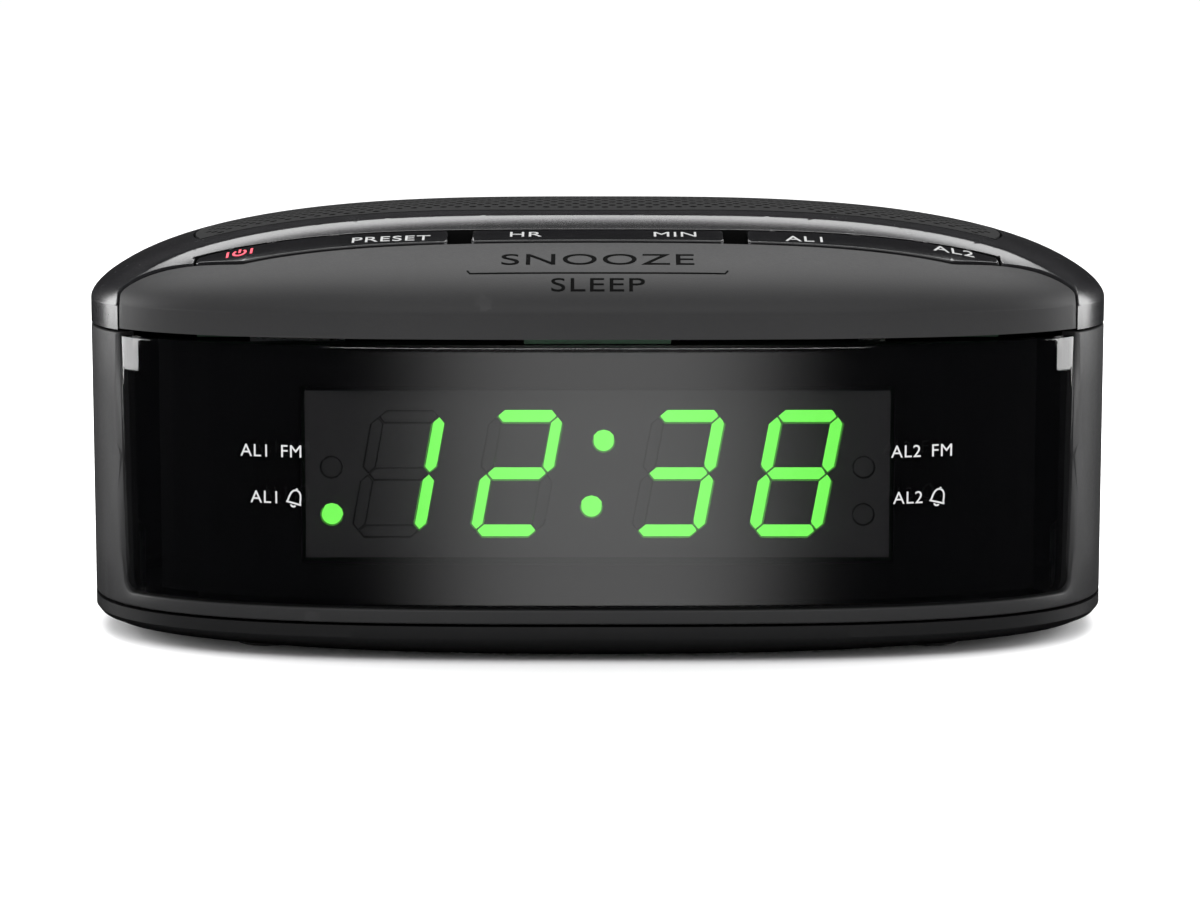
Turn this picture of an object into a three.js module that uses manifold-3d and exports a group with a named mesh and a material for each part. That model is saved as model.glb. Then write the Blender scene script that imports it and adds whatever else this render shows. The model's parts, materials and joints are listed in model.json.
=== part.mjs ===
// Compact clock radio: a curved cabinet on a tray base, a gloss front lens over a four-digit LED
// display, a domed top with a snooze bar, three rocker keys and a speaker grille, and the works
// inside. Millimetres, +Z up, front towards -Y, origin on the floor under the middle of the case.
import * as THREE from 'three';
import { mergeVertices } from 'three/addons/utils/BufferGeometryUtils.js';
import Module from 'manifold-3d';

const wasm = await Module();
wasm.setup();

// ---- driving dimensions ----
const BODY_WIDTH = 132;
const FRONT_DEPTH = 39;        // from the widest line to the front
const REAR_DEPTH = 29;         // from the widest line to the back
const WIDEST_Y = 5;
const FRONT_Y = WIDEST_Y - FRONT_DEPTH;
const PLAN_POWER = 3.07;       // squareness of the plan outline
const FOOT_PROUD = 0.8;        // feet lift the base this far off the floor
const BASE_SEAM_Z = 5;         // base cover meets the housing
const TOP_SEAM_Z = 40;         // top bezel meets the housing
const SHOULDER_Z = TOP_SEAM_Z + 3.1;   // where the upright wall turns into the dome
const CROWN = 11.8;            // dome height above the shoulder
const CROWN_POWER = 0.6;
const WALL = 2;
const GAP = 0.3;               // clearance between fitted pieces
const BASE_FLOOR = 2.6;
const BASE_TUCK = 3;           // how far the base outline draws in at the bottom
const BASE_POWER = 2.35;       // squareness of its bottom outline in front, rounder than the plan

const LENS_MARGIN = 6;         // housing left beside the lens
const LENS_HALF = BODY_WIDTH / 2 - LENS_MARGIN;   // lens and snooze bar reach this far out
const LENS_LOW_Z = BASE_SEAM_Z + 2.1;
const LENS_HIGH_Z = TOP_SEAM_Z - 0.7;
const SNOOZE_LIP_Z = TOP_SEAM_Z + 0.2;   // lower edge of the snooze bar's front lip
const SNOOZE_WALL = 1.8;
const SNOOZE_CORNER_X = LENS_HALF - 16;   // beyond this the rear edge sweeps back to the wall
const SNOOZE_REAR_SAG = 1.49;  // how far the rear edge's arc comes forward at those corners
const SNOOZE_REAR_RADIUS = SNOOZE_CORNER_X ** 2 / (2 * SNOOZE_REAR_SAG);
const SNOOZE_TIP = 1.36;        // depth left at the snooze bar's two ends
const SNOOZE_TIP_Y = WIDEST_Y - planY(LENS_HALF, 0, FRONT_DEPTH) + SNOOZE_TIP;
const SNOOZE_REAR_Y = SNOOZE_TIP_Y - 3.1;   // rear edge of the snooze bar on the centre line
const ROW_GAP = 0.6;           // dark line between snooze bar and keys

const KEY_NOTCH = 3.1;
const KEYS_HALF = LENS_HALF - 9.8;   // the row of three keys reaches this far out
const KEY_LENGTH = (2 * KEYS_HALF - 2 * KEY_NOTCH) / 3;
const KEY_REAR_Y = SNOOZE_TIP_Y + 1.2;
const KEY_REAR_SAG = 1.4;      // from the middle of the row to its ends
const KEY_REAR_RADIUS = KEYS_HALF ** 2 / (2 * KEY_REAR_SAG);
const KEY_WALL = 2;
const KEY_SIDE_GAP = 0.35;
const KEY_POST_OFFSET = 9;    // from a key's middle to each of its two posts
const TRAY_DROP = 3.2;         // key tray lies this far under the dome
const TRAY_WALL = 1.3;

const GRILLE_FRONT_Y = SNOOZE_TIP_Y + 11.4;
const GRILLE_SHARE = 0.8;      // grille reaches this share of the plan outline
const GRILLE_FRONT_SAG = 3.1;
const GRILLE_FRONT_RADIUS = (GRILLE_SHARE * BODY_WIDTH / 2) ** 2 / (2 * GRILLE_FRONT_SAG);
const GRILLE_WALL = 1.6;
const GRILLE_PITCH = 5.6;
const GRILLE_HOLE = 1.5;

const SPEAKER_Y = 7;
const SPEAKER_RADIUS = 20;
const SPEAKER_TOP_Z = SHOULDER_Z + 3.4;
const SPEAKER_DEPTH = 9;
const MAGNET_RADIUS = 11;
const MAGNET_HEIGHT = 5.4;

const DISPLAY_FACE_Y = FRONT_Y + 5;
const DISPLAY_HALF = 36.1;
const DISPLAY_Z = (LENS_LOW_Z + LENS_HIGH_Z) / 2 - 0.2;
const DISPLAY_HEIGHT = 20.8;
const DISPLAY_DEPTH = 6.5;
const DIGIT_X = [-24.6, -10, 10, 24.6];   // digit middles
const DIGIT_WIDTH = 7.56;      // between the upright segments' middles
const DIGIT_STEP = 7.14;       // between the level segments' middles
const SEGMENT = 1.3;
const SLANT = Math.tan(THREE.MathUtils.degToRad(10.5));
const DOT_RADIUS = 1.25;
const COLON_RISE = 4.1;
const ALARM_DOT_X = DISPLAY_HALF - 3.2;
const ALARM_DOT_Z = [0.85, -5.05];

const BOARD = 1.6;
const KEY_BOARD_Z = TOP_SEAM_Z - 0.6;
const SWITCH_SIZE = 6;
const KEY_SWITCH_HEIGHT = 3.5;
const SNOOZE_SWITCH_HEIGHT = 3;
const SNOOZE_SWITCH_Y = FRONT_Y + 5.4;
const PLUNGER_RADIUS = 1.2;
const KEY_PLUNGER = 0.8;
const SNOOZE_PLUNGER = 1;
const HINGE_Y = SNOOZE_TIP_Y - 5.9;         // snooze bar turns about the tray's lower front edge
const HINGE_FOOT_X = 20;

const BAY_X = [-50, 0];
const BAY_Y = [FRONT_Y + 22, FRONT_Y + 44];   // room for two AAA cells side by side
const BAY_TOP_Z = 13.4;
const BAY_WALL = 1.4;
const MAIN_BOARD_Z = BAY_TOP_Z + BAY_WALL + 0.7;
const DOOR_WALL = 1.2;
const DOOR_TRAVEL = 6;
const DOOR_TONGUE = 1;

const CORE = {
  x: 33, y: (BAY_Y[0] + BAY_Y[1]) / 2 + 5, width: 35, height: 29, stack: 15, leg: 9.7, window: 6.2,
};
const BOSS_RADIUS = 3.4;
const SCREW_RADIUS = 1.4;
const BOSS_ANGLES = [-4, 184, 38, 142];
const FOOT_RADIUS = 4;
const FOOT_X = [BODY_WIDTH / 2 - 24, BODY_WIDTH / 2 - 26];   // front pair, rear pair
const FOOT_Y = [FRONT_Y + 16, WIDEST_Y + REAR_DEPTH - 10.5];
const FOOT_PLACES = [0, 1].flatMap((row) => [-1, 1].map((side) => [side * FOOT_X[row], FOOT_Y[row]]));
const CORD_OUTLET = { x: 40, z: 12, bore: 3, body: 4.4, flange: 5.5 };
const ANTENNA_OUTLET = { x: -40, z: 12, bore: 1, body: 2.2, flange: 3.2 };

// ---- solids ----
function solid(geometry) {
  const bare = new THREE.BufferGeometry();
  bare.setAttribute('position', geometry.getAttribute('position').clone());
  if (geometry.index) {
    bare.setIndex(geometry.index.clone());
  }
  const merged = mergeVertices(bare, 1e-4);
  const kept = [];
  for (let i = 0; i < merged.index.count; i += 3) {
    const [a, b, c] = [0, 1, 2].map((k) => merged.index.getX(i + k));
    if (a !== b && b !== c && c !== a) {
      kept.push(a, b, c);
    }
  }
  return new wasm.Manifold(new wasm.Mesh({
    numProp: 3,
    vertProperties: merged.getAttribute('position').array,
    triVerts: new Uint32Array(kept),
  }));
}

function union(...solids) {
  return solids.reduce((whole, piece) => whole.add(piece));
}

function box(x0, x1, y0, y1, z0, z1) {
  const geometry = new THREE.BoxGeometry(x1 - x0, y1 - y0, z1 - z0);
  return solid(geometry.translate((x0 + x1) / 2, (y0 + y1) / 2, (z0 + z1) / 2));
}

function upright(x, y, z0, z1, radius, sides = 12) {
  const geometry = new THREE.CylinderGeometry(radius, radius, z1 - z0, sides);
  return solid(geometry.rotateX(Math.PI / 2).translate(x, y, (z0 + z1) / 2));
}

function level(x, z, y0, y1, radius, sides = 12) {
  const geometry = new THREE.CylinderGeometry(radius, radius, y1 - y0, sides);
  return solid(geometry.translate(x, (y0 + y1) / 2, z));
}

// outline points in plan, extruded upwards
function prism(points, z0, z1) {
  const geometry = new THREE.ExtrudeGeometry(new THREE.Shape(points),
    { depth: z1 - z0, bevelEnabled: false });
  return solid(geometry.translate(0, 0, z0));
}

// outline points seen from the front (x, z), extruded from y0 to y1
function plate(points, y0, y1) {
  const geometry = new THREE.ExtrudeGeometry(new THREE.Shape(points),
    { depth: y1 - y0, bevelEnabled: false });
  return solid(geometry.rotateX(Math.PI / 2).translate(0, y1, 0));
}

// outline points seen from the right (y, z), extruded from x0 to x1
function sideways(points, x0, x1) {
  const geometry = new THREE.ExtrudeGeometry(new THREE.Shape(points),
    { depth: x1 - x0, bevelEnabled: false });
  return solid(geometry.rotateX(Math.PI / 2).rotateZ(Math.PI / 2).translate(x0, 0, 0));
}

function turned(profile, x, y, sides = 32) {
  const points = profile.map(([r, z]) => new THREE.Vector2(r, z));
  const geometry = new THREE.LatheGeometry(points, sides);
  return solid(geometry.rotateX(Math.PI / 2).translate(x, y, 0));
}

// ---- the cabinet's shape ----
const PLAN_STEPS = 44;

function planPoint(inset, angle, squareness = PLAN_POWER) {
  const power = 2 / squareness;
  const across = Math.cos(angle);
  const along = Math.sin(angle);
  const depth = along < 0 ? FRONT_DEPTH : REAR_DEPTH;
  return new THREE.Vector2(
    (BODY_WIDTH / 2 - inset) * Math.sign(across) * Math.abs(across) ** power,
    WIDEST_Y + (depth - inset) * Math.sign(along) * Math.abs(along) ** power,
  );
}

function planRing(inset, share = 1) {
  const ring = [];
  for (let i = 0; i < PLAN_STEPS; i += 1) {
    const point = planPoint(inset, (i / PLAN_STEPS) * 2 * Math.PI);
    ring.push(new THREE.Vector2(point.x * share, WIDEST_Y + (point.y - WIDEST_Y) * share));
  }
  return ring;
}

// plan outline's y at a given x, on the front or the rear side
function planY(x, inset, depth) {
  const share = Math.abs(x / (BODY_WIDTH / 2 - inset)) ** PLAN_POWER;
  return (depth - inset) * Math.max(0, 1 - share) ** (1 / PLAN_POWER);
}

function rearY(x, inset = 0) {
  return WIDEST_Y + planY(x, inset, REAR_DEPTH);
}

// rings of plan points stacked from the bottom up, closed with a fan at each end
function loft(rings) {
  const count = rings[0].length;
  const positions = rings.flat().flatMap((p) => [p.x, p.y, p.z]);
  const index = [];
  for (let k = 0; k + 1 < rings.length; k += 1) {
    for (let i = 0; i < count; i += 1) {
      const a = k * count + i;
      const b = k * count + ((i + 1) % count);
      index.push(a, b, b + count, a, b + count, a + count);
    }
  }
  const ends = [rings[0], rings[rings.length - 1]];
  ends.forEach((ring, end) => {
    const middle = positions.length / 3;
    const height = ring.reduce((sum, p) => sum + p.z, 0) / count;
    positions.push(0, WIDEST_Y, height);
    const start = end * (rings.length - 1) * count;
    for (let i = 0; i < count; i += 1) {
      const a = start + i;
      const b = start + ((i + 1) % count);
      index.push(...(end ? [middle, a, b] : [middle, b, a]));
    }
  });
  const geometry = new THREE.BufferGeometry();
  geometry.setAttribute('position', new THREE.Float32BufferAttribute(positions, 3));
  geometry.setIndex(index);
  return solid(geometry);
}

function raised(ring, z) {
  return ring.map((p) => new THREE.Vector3(p.x, p.y, z));
}

function column(inset, z0, z1) {
  return loft([raised(planRing(inset), z0), raised(planRing(inset), z1)]);
}

function wall(outerInset, innerInset, z0, z1) {
  return column(outerInset, z0, z1).subtract(column(innerInset, z0 - 1, z1 + 1));
}

// solid under the domed top, drawn in by an inset all over
const DOME_SHARES = [0.99, 0.955, 0.89, 0.78, 0.6, 0.35];
const DOME_CACHE = new Map();

function crown(point, share, inset) {
  const depth = point.y < WIDEST_Y ? FRONT_DEPTH : REAR_DEPTH;
  const u = Math.abs(point.x / (BODY_WIDTH / 2 - inset)) ** PLAN_POWER;
  const v = Math.abs((point.y - WIDEST_Y) / (depth - inset)) ** PLAN_POWER;
  const sidewaysShare = u / (u + v);
  const basePower = point.y < WIDEST_Y ? 2 : 3;
  const power = basePower + (3 - basePower) * sidewaysShare;
  return SHOULDER_Z + (CROWN - inset) * (1 - share ** power) ** CROWN_POWER;
}

function dome(inset, z0 = SHOULDER_Z - 10) {
  const key = `${inset}/${z0}`;
  if (!DOME_CACHE.has(key)) {
    const rings = [raised(planRing(inset), z0), raised(planRing(inset), SHOULDER_Z)];
    DOME_SHARES.forEach((share) => {
      rings.push(planRing(inset, share).map(
        (p) => new THREE.Vector3(p.x, p.y, crown(p, share, inset)),
      ));
    });
    const middle = rings[rings.length - 1].map(
      () => new THREE.Vector3(0, WIDEST_Y, SHOULDER_Z + CROWN - inset),
    );
    rings.push(middle);
    DOME_CACHE.set(key, loft(rings));
  }
  return DOME_CACHE.get(key);
}

function arcSag(x, radius) {
  return radius - Math.sqrt(radius * radius - x * x);
}

// rear edge of the snooze bar: a shallow arc whose ends sweep back to the wall
function snoozeRearY(x) {
  const reach = Math.abs(x);
  const middle = SNOOZE_REAR_Y - arcSag(Math.min(reach, SNOOZE_CORNER_X), SNOOZE_REAR_RADIUS);
  if (reach <= SNOOZE_CORNER_X) {
    return middle;
  }
  const along = Math.min(1, (reach - SNOOZE_CORNER_X) / (LENS_HALF - SNOOZE_CORNER_X));
  return middle + (SNOOZE_TIP_Y - middle) * Math.sin(along * Math.PI / 2) ** 1.2;
}

function keyRearY(x) {
  return KEY_REAR_Y - arcSag(x, KEY_REAR_RADIUS);
}

function grilleFrontY(x) {
  return GRILLE_FRONT_Y - arcSag(x, GRILLE_FRONT_RADIUS);
}

// every curved edge bends at the same x places, so the gaps between neighbours stay even
const STATION = 5;

function stationY(yOf, x) {
  const before = Math.floor(x / STATION) * STATION;
  const share = (x - before) / STATION;
  return yOf(before) + (yOf(before + STATION) - yOf(before)) * share;
}

// points of an edge y(x) from x0 to x1, where x0 < x1
function edge(yOf, x0, x1) {
  const points = [new THREE.Vector2(x0, stationY(yOf, x0))];
  for (let k = Math.floor(x0 / STATION) + 1; k * STATION < x1 - 0.01; k += 1) {
    if (k * STATION > x0 + 0.01) {
      points.push(new THREE.Vector2(k * STATION, yOf(k * STATION)));
    }
  }
  points.push(new THREE.Vector2(x1, stationY(yOf, x1)));
  return points;
}

// region between a front edge and a rear edge
function band(frontOf, rearOf, x0, x1, z0, z1) {
  return prism([...edge(frontOf, x0, x1), ...edge(rearOf, x0, x1).reverse()], z0, z1);
}

const BELOW_DOME = SHOULDER_Z - 9;
const ABOVE_DOME = SHOULDER_Z + CROWN + 5;
const AHEAD_Y = WIDEST_Y - FRONT_DEPTH - 5;
const ahead = () => AHEAD_Y;

// ---- materials ----
function finish(color, roughness, metalness = 0) {
  return new THREE.MeshStandardMaterial({ color, roughness, metalness });
}

const matteGrey = finish(0x2c2c2e, 0.6);
const matteBlack = finish(0x17171a, 0.6);
const glossBlack = finish(0x0b0b0d, 0.12);
const smoked = finish(0x08080a, 0.08);
const rubber = finish(0x1c1c1c, 0.9);
const lampGreen = finish(0x66f24a, 0.4);
const boardGreen = finish(0x1f5a34, 0.5);
const steel = finish(0xa9abad, 0.35, 1);
const copper = finish(0xb4703a, 0.4, 0.6);
const paper = finish(0x3a3835, 0.85);
const ferrite = finish(0x2d2d2f, 0.7);
const flexGrey = finish(0x9a9a96, 0.6);
const sleeve = finish(0x26384f, 0.4);
const chipBlack = finish(0x1b1b1b, 0.5);

const radio = new THREE.Group();

function part(name, shape, material) {
  const mesh = shape.getMesh();
  const geometry = new THREE.BufferGeometry();
  geometry.setAttribute('position', new THREE.BufferAttribute(mesh.vertProperties, 3));
  geometry.setIndex(new THREE.BufferAttribute(mesh.triVerts, 1));
  geometry.computeVertexNormals();
  const node = new THREE.Mesh(geometry, material);
  node.name = name;
  radio.add(node);
}

// ---- screw bosses, shared by housing, base and screws ----
const bosses = BOSS_ANGLES.map(
  (degrees) => planPoint(WALL + BOSS_RADIUS - 0.6, THREE.MathUtils.degToRad(degrees)),
);
const BOSS_TOP_Z = 16;
const SCREW_TOP_Z = 13;
const HEAD_RADIUS = 2.7;
const HEAD_HEIGHT = 1.4;
const HEAD_SUNK = 0.3;
const HEAD_SEAT_Z = FOOT_PROUD + HEAD_SUNK + HEAD_HEIGHT + GAP;

function bossRods(z0, z1, radius) {
  return union(...bosses.map((p) => upright(p.x, p.y, z0, z1, radius)));
}

// ---- housing ----
function outlet(spec) {
  const reach = rearY(Math.abs(spec.x) - spec.flange) + GAP;
  const inner = rearY(spec.x, WALL) - 5;
  const body = level(spec.x, spec.z, inner, reach + 0.5, spec.body, 16);
  const flange = level(spec.x, spec.z, reach, reach + 1, spec.flange, 16);
  const bore = level(spec.x, spec.z, inner - 1, reach + 2, spec.bore, 16);
  return union(body, flange).subtract(bore);
}

function housing() {
  const low = BASE_SEAM_Z;
  const high = TOP_SEAM_Z - GAP;
  const shell = wall(0, WALL, low, high);
  const lensCut = box(-LENS_HALF - GAP, LENS_HALF + GAP, AHEAD_Y, WIDEST_Y - 1, LENS_LOW_Z - GAP, high + 5);
  const posts = bossRods(low + GAP, BOSS_TOP_Z, BOSS_RADIUS)
    .intersect(column(WALL / 2, low, high));
  const bores = bossRods(low - 1, SCREW_TOP_Z + 1, SCREW_RADIUS + GAP);
  const outlets = [CORD_OUTLET, ANTENNA_OUTLET].map(
    (spec) => level(spec.x, spec.z, WIDEST_Y, WIDEST_Y + REAR_DEPTH + 5, spec.body + GAP, 16),
  );
  return shell.subtract(lensCut).add(posts).subtract(bores).subtract(union(...outlets));
}

part('housing_shell', housing(), matteGrey);
part('mains_cord_gland', outlet(CORD_OUTLET), rubber);
part('antenna_gland', outlet(ANTENNA_OUTLET), rubber);

// ---- base cover, battery bay and door ----
const BASE_Z = FOOT_PROUD;
const FLOOR_TOP_Z = BASE_Z + BASE_FLOOR;
const LIP_TOP_Z = LENS_LOW_Z + 0.1;
const DOOR_TOP_Z = BASE_Z + DOOR_WALL;
const PILLAR_X = BAY_X[1] + 10;
const PILLARS = [[PILLAR_X, BAY_Y[0]], [PILLAR_X, BAY_Y[1] + 6]];
const BOARD_SCREW_RADIUS = 0.9;
const LUG_PEG = 1.5;
const LUG_OUT = 4;
const BRACKET_WALL = 0.8;
const lugX = [-1, 1].map((side) => CORE.x + side * (CORE.width / 2 + GAP + BRACKET_WALL + LUG_OUT / 2));

// outline of the base, part of the way out from its bottom outline to the full plan
function baseRing(out) {
  const ring = [];
  for (let i = 0; i < PLAN_STEPS; i += 1) {
    const angle = (i / PLAN_STEPS) * 2 * Math.PI;
    const squareness = Math.sin(angle) < 0 ? BASE_POWER : PLAN_POWER;
    ring.push(planPoint(BASE_TUCK, angle, squareness).lerp(planPoint(0, angle), out));
  }
  return ring;
}

function base() {
  // share of the way from the bottom outline to the full one, at a share of the rise
  const tuck = [[0, 0], [0.6, 0.22], [0.88, 0.42], [1, 0.62], [1, 1]];
  const rise = BASE_SEAM_Z - GAP - BASE_Z;
  const outer = loft(tuck.map(([out, share]) => raised(baseRing(out), BASE_Z + rise * share)));
  const hollow = column(WALL + 1.2, FLOOR_TOP_Z, BASE_SEAM_Z + 5);
  const lip = wall(WALL + GAP, WALL + GAP + 1.2, FLOOR_TOP_Z - 1, LIP_TOP_Z)
    .subtract(bossRods(BASE_SEAM_Z - GAP, LIP_TOP_Z + 1, BOSS_RADIUS + GAP));
  const pads = bossRods(BASE_Z, BASE_SEAM_Z, BOSS_RADIUS + 1).intersect(column(WALL / 2 + 1.4, 0, 20))
    .subtract(wall(0, WALL + GAP, BASE_SEAM_Z - GAP, BASE_SEAM_Z + 1));
  const bayBox = box(BAY_X[0] - BAY_WALL, BAY_X[1] + BAY_WALL, BAY_Y[0] - BAY_WALL,
    BAY_Y[1] + BAY_WALL, BASE_Z + 1, BAY_TOP_Z + BAY_WALL);
  const pillars = PILLARS.map(([x, y]) => upright(x, y, FLOOR_TOP_Z - 1, MAIN_BOARD_Z - GAP, 2.6));
  const pegs = lugX.map((x) => upright(x, CORE.y, FLOOR_TOP_Z - 1, FLOOR_TOP_Z + 2, LUG_PEG));
  const bay = box(BAY_X[0], BAY_X[1], BAY_Y[0], BAY_Y[1], 0, BAY_TOP_Z);
  const channelEnd = BAY_Y[1] + GAP + DOOR_TRAVEL + GAP;
  const channel = box(BAY_X[0] - GAP, BAY_X[1] + GAP, BAY_Y[0] - GAP, channelEnd, 0, DOOR_TOP_Z + GAP);
  const grooves = box(BAY_X[0] - GAP - DOOR_TONGUE, BAY_X[1] + GAP + DOOR_TONGUE,
    BAY_Y[0] - GAP, channelEnd, BASE_Z + 0.5, DOOR_TOP_Z + GAP);
  const feet = FOOT_PLACES.map(([x, y]) => upright(x, y, 0, BASE_Z + 0.9, FOOT_RADIUS + GAP, 20));
  const heads = bossRods(0, HEAD_SEAT_Z, HEAD_RADIUS + GAP);
  const shafts = bossRods(0, 20, SCREW_RADIUS + GAP);
  const pilots = PILLARS.map(([x, y]) => upright(x, y, 8, MAIN_BOARD_Z, BOARD_SCREW_RADIUS + GAP));
  return outer.subtract(hollow)
    .add(union(lip, pads, bayBox, ...pillars, ...pegs))
    .subtract(union(bay, channel, grooves, ...feet, heads, shafts, ...pilots));
}

part('base_cover', base(), matteBlack);

function batteryDoor() {
  const leaf = box(BAY_X[0], BAY_X[1], BAY_Y[0], BAY_Y[1] + GAP, BASE_Z, DOOR_TOP_Z);
  const tongues = box(BAY_X[0] - DOOR_TONGUE, BAY_X[1] + DOOR_TONGUE, BAY_Y[0], BAY_Y[1] + GAP,
    BASE_Z + 0.5 + GAP, DOOR_TOP_Z);
  const grips = [0, 1, 2, 3].map((i) => box((BAY_X[0] + BAY_X[1]) / 2 - 6, (BAY_X[0] + BAY_X[1]) / 2 + 6,
    BAY_Y[1] - 3 - i * 1.6, BAY_Y[1] - 2.3 - i * 1.6, 0, BASE_Z + 0.4));
  return union(leaf, tongues).subtract(union(...grips));
}

part('battery_door', batteryDoor(), matteBlack);

FOOT_PLACES.forEach(([x, y], i) => {
  part(`rubber_foot_${i + 1}`, upright(x, y, 0, BASE_Z + 0.9 - GAP, FOOT_RADIUS, 20), rubber);
});

function screw(x, y, headZ, tipZ, radius, headRadius, headHeight) {
  return union(
    upright(x, y, headZ, headZ + headHeight, headRadius),
    upright(x, y, headZ, tipZ, radius, 8),
  );
}

bosses.forEach((p, i) => {
  const headZ = FOOT_PROUD + HEAD_SUNK;
  const shape = screw(p.x, p.y, headZ, SCREW_TOP_Z, SCREW_RADIUS, HEAD_RADIUS, HEAD_HEIGHT);
  part(`case_screw_${i + 1}`, shape, steel);
});

// ---- battery contacts ----
const CELL_ROWS = [BAY_Y[0] + 5.5, BAY_Y[1] - 5.5];
const CELL_Z = DOOR_TOP_Z + 5.9;
const CONTACT = 0.5;

function contactPlate(x, y0, y1) {
  return box(x, x + CONTACT, y0, y1, DOOR_TOP_Z + 1, BAY_TOP_Z - GAP);
}

// a cell contact's tapered spring or button, pointing along +x or -x
function contactBump(x, y, length, r0, r1, side) {
  const geometry = new THREE.CylinderGeometry(r1, r0, length, 10);
  return solid(geometry.rotateZ(-side * Math.PI / 2).translate(x + (side * length) / 2, y, CELL_Z));
}

const linkX = BAY_X[0] + GAP;
part('battery_link_contact', union(
  contactPlate(linkX, CELL_ROWS[0] - 4, CELL_ROWS[1] + 4),
  contactBump(linkX + 0.2, CELL_ROWS[0], 2.4, 3.2, 1.8, 1),
  contactBump(linkX + 0.2, CELL_ROWS[1], 1, 2.2, 2, 1),
), steel);
const endX = BAY_X[1] - GAP - CONTACT;
part('battery_spring_contact', union(
  contactPlate(endX, CELL_ROWS[1] - 4, CELL_ROWS[1] + 4),
  contactBump(endX + 0.3, CELL_ROWS[1], 2.4, 3.2, 1.8, -1),
), steel);
part('battery_button_contact', union(
  contactPlate(endX, CELL_ROWS[0] - 4, CELL_ROWS[0] + 4),
  contactBump(endX + 0.3, CELL_ROWS[0], 1, 2.2, 2, -1),
), steel);

// ---- front lens and the carrier behind it ----
const lensWindow = box(-LENS_HALF, LENS_HALF, AHEAD_Y, WIDEST_Y - 1, LENS_LOW_Z, LENS_HIGH_Z);
part('front_lens', wall(0, WALL, LENS_LOW_Z, LENS_HIGH_Z).intersect(lensWindow), smoked);

function carrier() {
  const inset = WALL + GAP;
  const half = LENS_HALF - 5;
  const low = LIP_TOP_Z + GAP;
  const high = LENS_HIGH_Z - GAP;
  const skin = wall(inset, inset + 1.5, low, high);
  const shelf = column(inset, high - 1.2, high)
    .intersect(box(5 - half, half - 5, AHEAD_Y, DISPLAY_FACE_Y + 5, low, high));
  const region = box(-half, half, AHEAD_Y, WIDEST_Y - 5, low, high);
  const margin = 0.6;
  const opening = box(-DISPLAY_HALF - margin, DISPLAY_HALF + margin, AHEAD_Y, DISPLAY_FACE_Y + 9,
    DISPLAY_Z - DISPLAY_HEIGHT / 2 - margin, DISPLAY_Z + DISPLAY_HEIGHT / 2 + margin);
  return skin.add(shelf).intersect(region).subtract(opening);
}

part('display_carrier', carrier(), matteBlack);

// ---- LED display ----
const DISPLAY_BACK_Y = DISPLAY_FACE_Y + DISPLAY_DEPTH;
const WEB_Y = DISPLAY_FACE_Y + 4.5;

function slanted(x, z) {
  return new THREE.Vector2(x + z * SLANT, DISPLAY_Z + z);
}

// pointed bar between (x0, z0) and (x1, z1), grown all round by a margin
function segmentOutline(cx, bar, margin) {
  const [x0, z0, x1, z1] = bar;
  const half = SEGMENT / 2 + margin;
  const trim = 0.25 - margin;
  if (z0 === z1) {
    return [[x0 + trim, z0], [x0 + trim + half, z0 - half], [x1 - trim - half, z0 - half],
      [x1 - trim, z0], [x1 - trim - half, z0 + half], [x0 + trim + half, z0 + half]]
      .map(([x, z]) => slanted(x, z).add(new THREE.Vector2(cx, 0)));
  }
  return [[x0, z0 + trim], [x0 + half, z0 + trim + half], [x0 + half, z1 - trim - half],
    [x0, z1 - trim], [x0 - half, z1 - trim - half], [x0 - half, z0 + trim + half]]
    .map(([x, z]) => slanted(x, z).add(new THREE.Vector2(cx, 0)));
}

const right = DIGIT_WIDTH / 2;
const left = -right;
const top = DIGIT_STEP;
const foot = -DIGIT_STEP;
const SEGMENTS = [
  [left, top, right, top], [left, 0, right, 0], [left, foot, right, foot],
  [left, 0, left, top], [right, 0, right, top], [left, foot, left, 0], [right, foot, right, 0],
];
const SEGMENT_EASE = 0.2;
const WEB_HALF = DIGIT_WIDTH / 2 + 2.5;   // plate behind the segments of one digit
const WEB_RISE = DIGIT_STEP + 1.9;

function segmentBars(cx, y0, y1, margin) {
  return SEGMENTS.map((bar) => plate(segmentOutline(cx, bar, margin), y0, y1));
}

function dotRods(dots, y0, y1, margin) {
  return dots.map(([x, z]) => level(x, DISPLAY_Z + z, y0, y1, DOT_RADIUS + margin, 12));
}

const colonDots = [[COLON_RISE * SLANT, COLON_RISE], [-COLON_RISE * SLANT, -COLON_RISE]];
const leftDots = ALARM_DOT_Z.map((z) => [-ALARM_DOT_X, z]);
const rightDots = ALARM_DOT_Z.map((z) => [ALARM_DOT_X, z]);

function reflector() {
  const half = DISPLAY_HEIGHT / 2;
  const body = box(-DISPLAY_HALF, DISPLAY_HALF, DISPLAY_FACE_Y, DISPLAY_BACK_Y,
    DISPLAY_Z - half, DISPLAY_Z + half);
  const pocket = box(-DISPLAY_HALF + 1.2, DISPLAY_HALF - 1.2, WEB_Y - GAP, DISPLAY_BACK_Y + 1,
    DISPLAY_Z - half + 0.8, DISPLAY_Z + half - 0.8);
  const bars = DIGIT_X.flatMap((cx) => segmentBars(cx, DISPLAY_FACE_Y - 1, WEB_Y, SEGMENT_EASE));
  const dots = dotRods([...colonDots, ...leftDots, ...rightDots], DISPLAY_FACE_Y - 1, WEB_Y, SEGMENT_EASE);
  return body.subtract(pocket).subtract(union(...bars, ...dots));
}

part('display_reflector', reflector(), matteBlack);

DIGIT_X.forEach((cx, i) => {
  const web = box(cx - WEB_HALF, cx + WEB_HALF, WEB_Y, DISPLAY_BACK_Y - GAP,
    DISPLAY_Z - WEB_RISE, DISPLAY_Z + WEB_RISE);
  const bars = segmentBars(cx, DISPLAY_FACE_Y + GAP, WEB_Y + 0.5, 0);
  part(`digit_${i + 1}`, union(web, ...bars), lampGreen);
});

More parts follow.
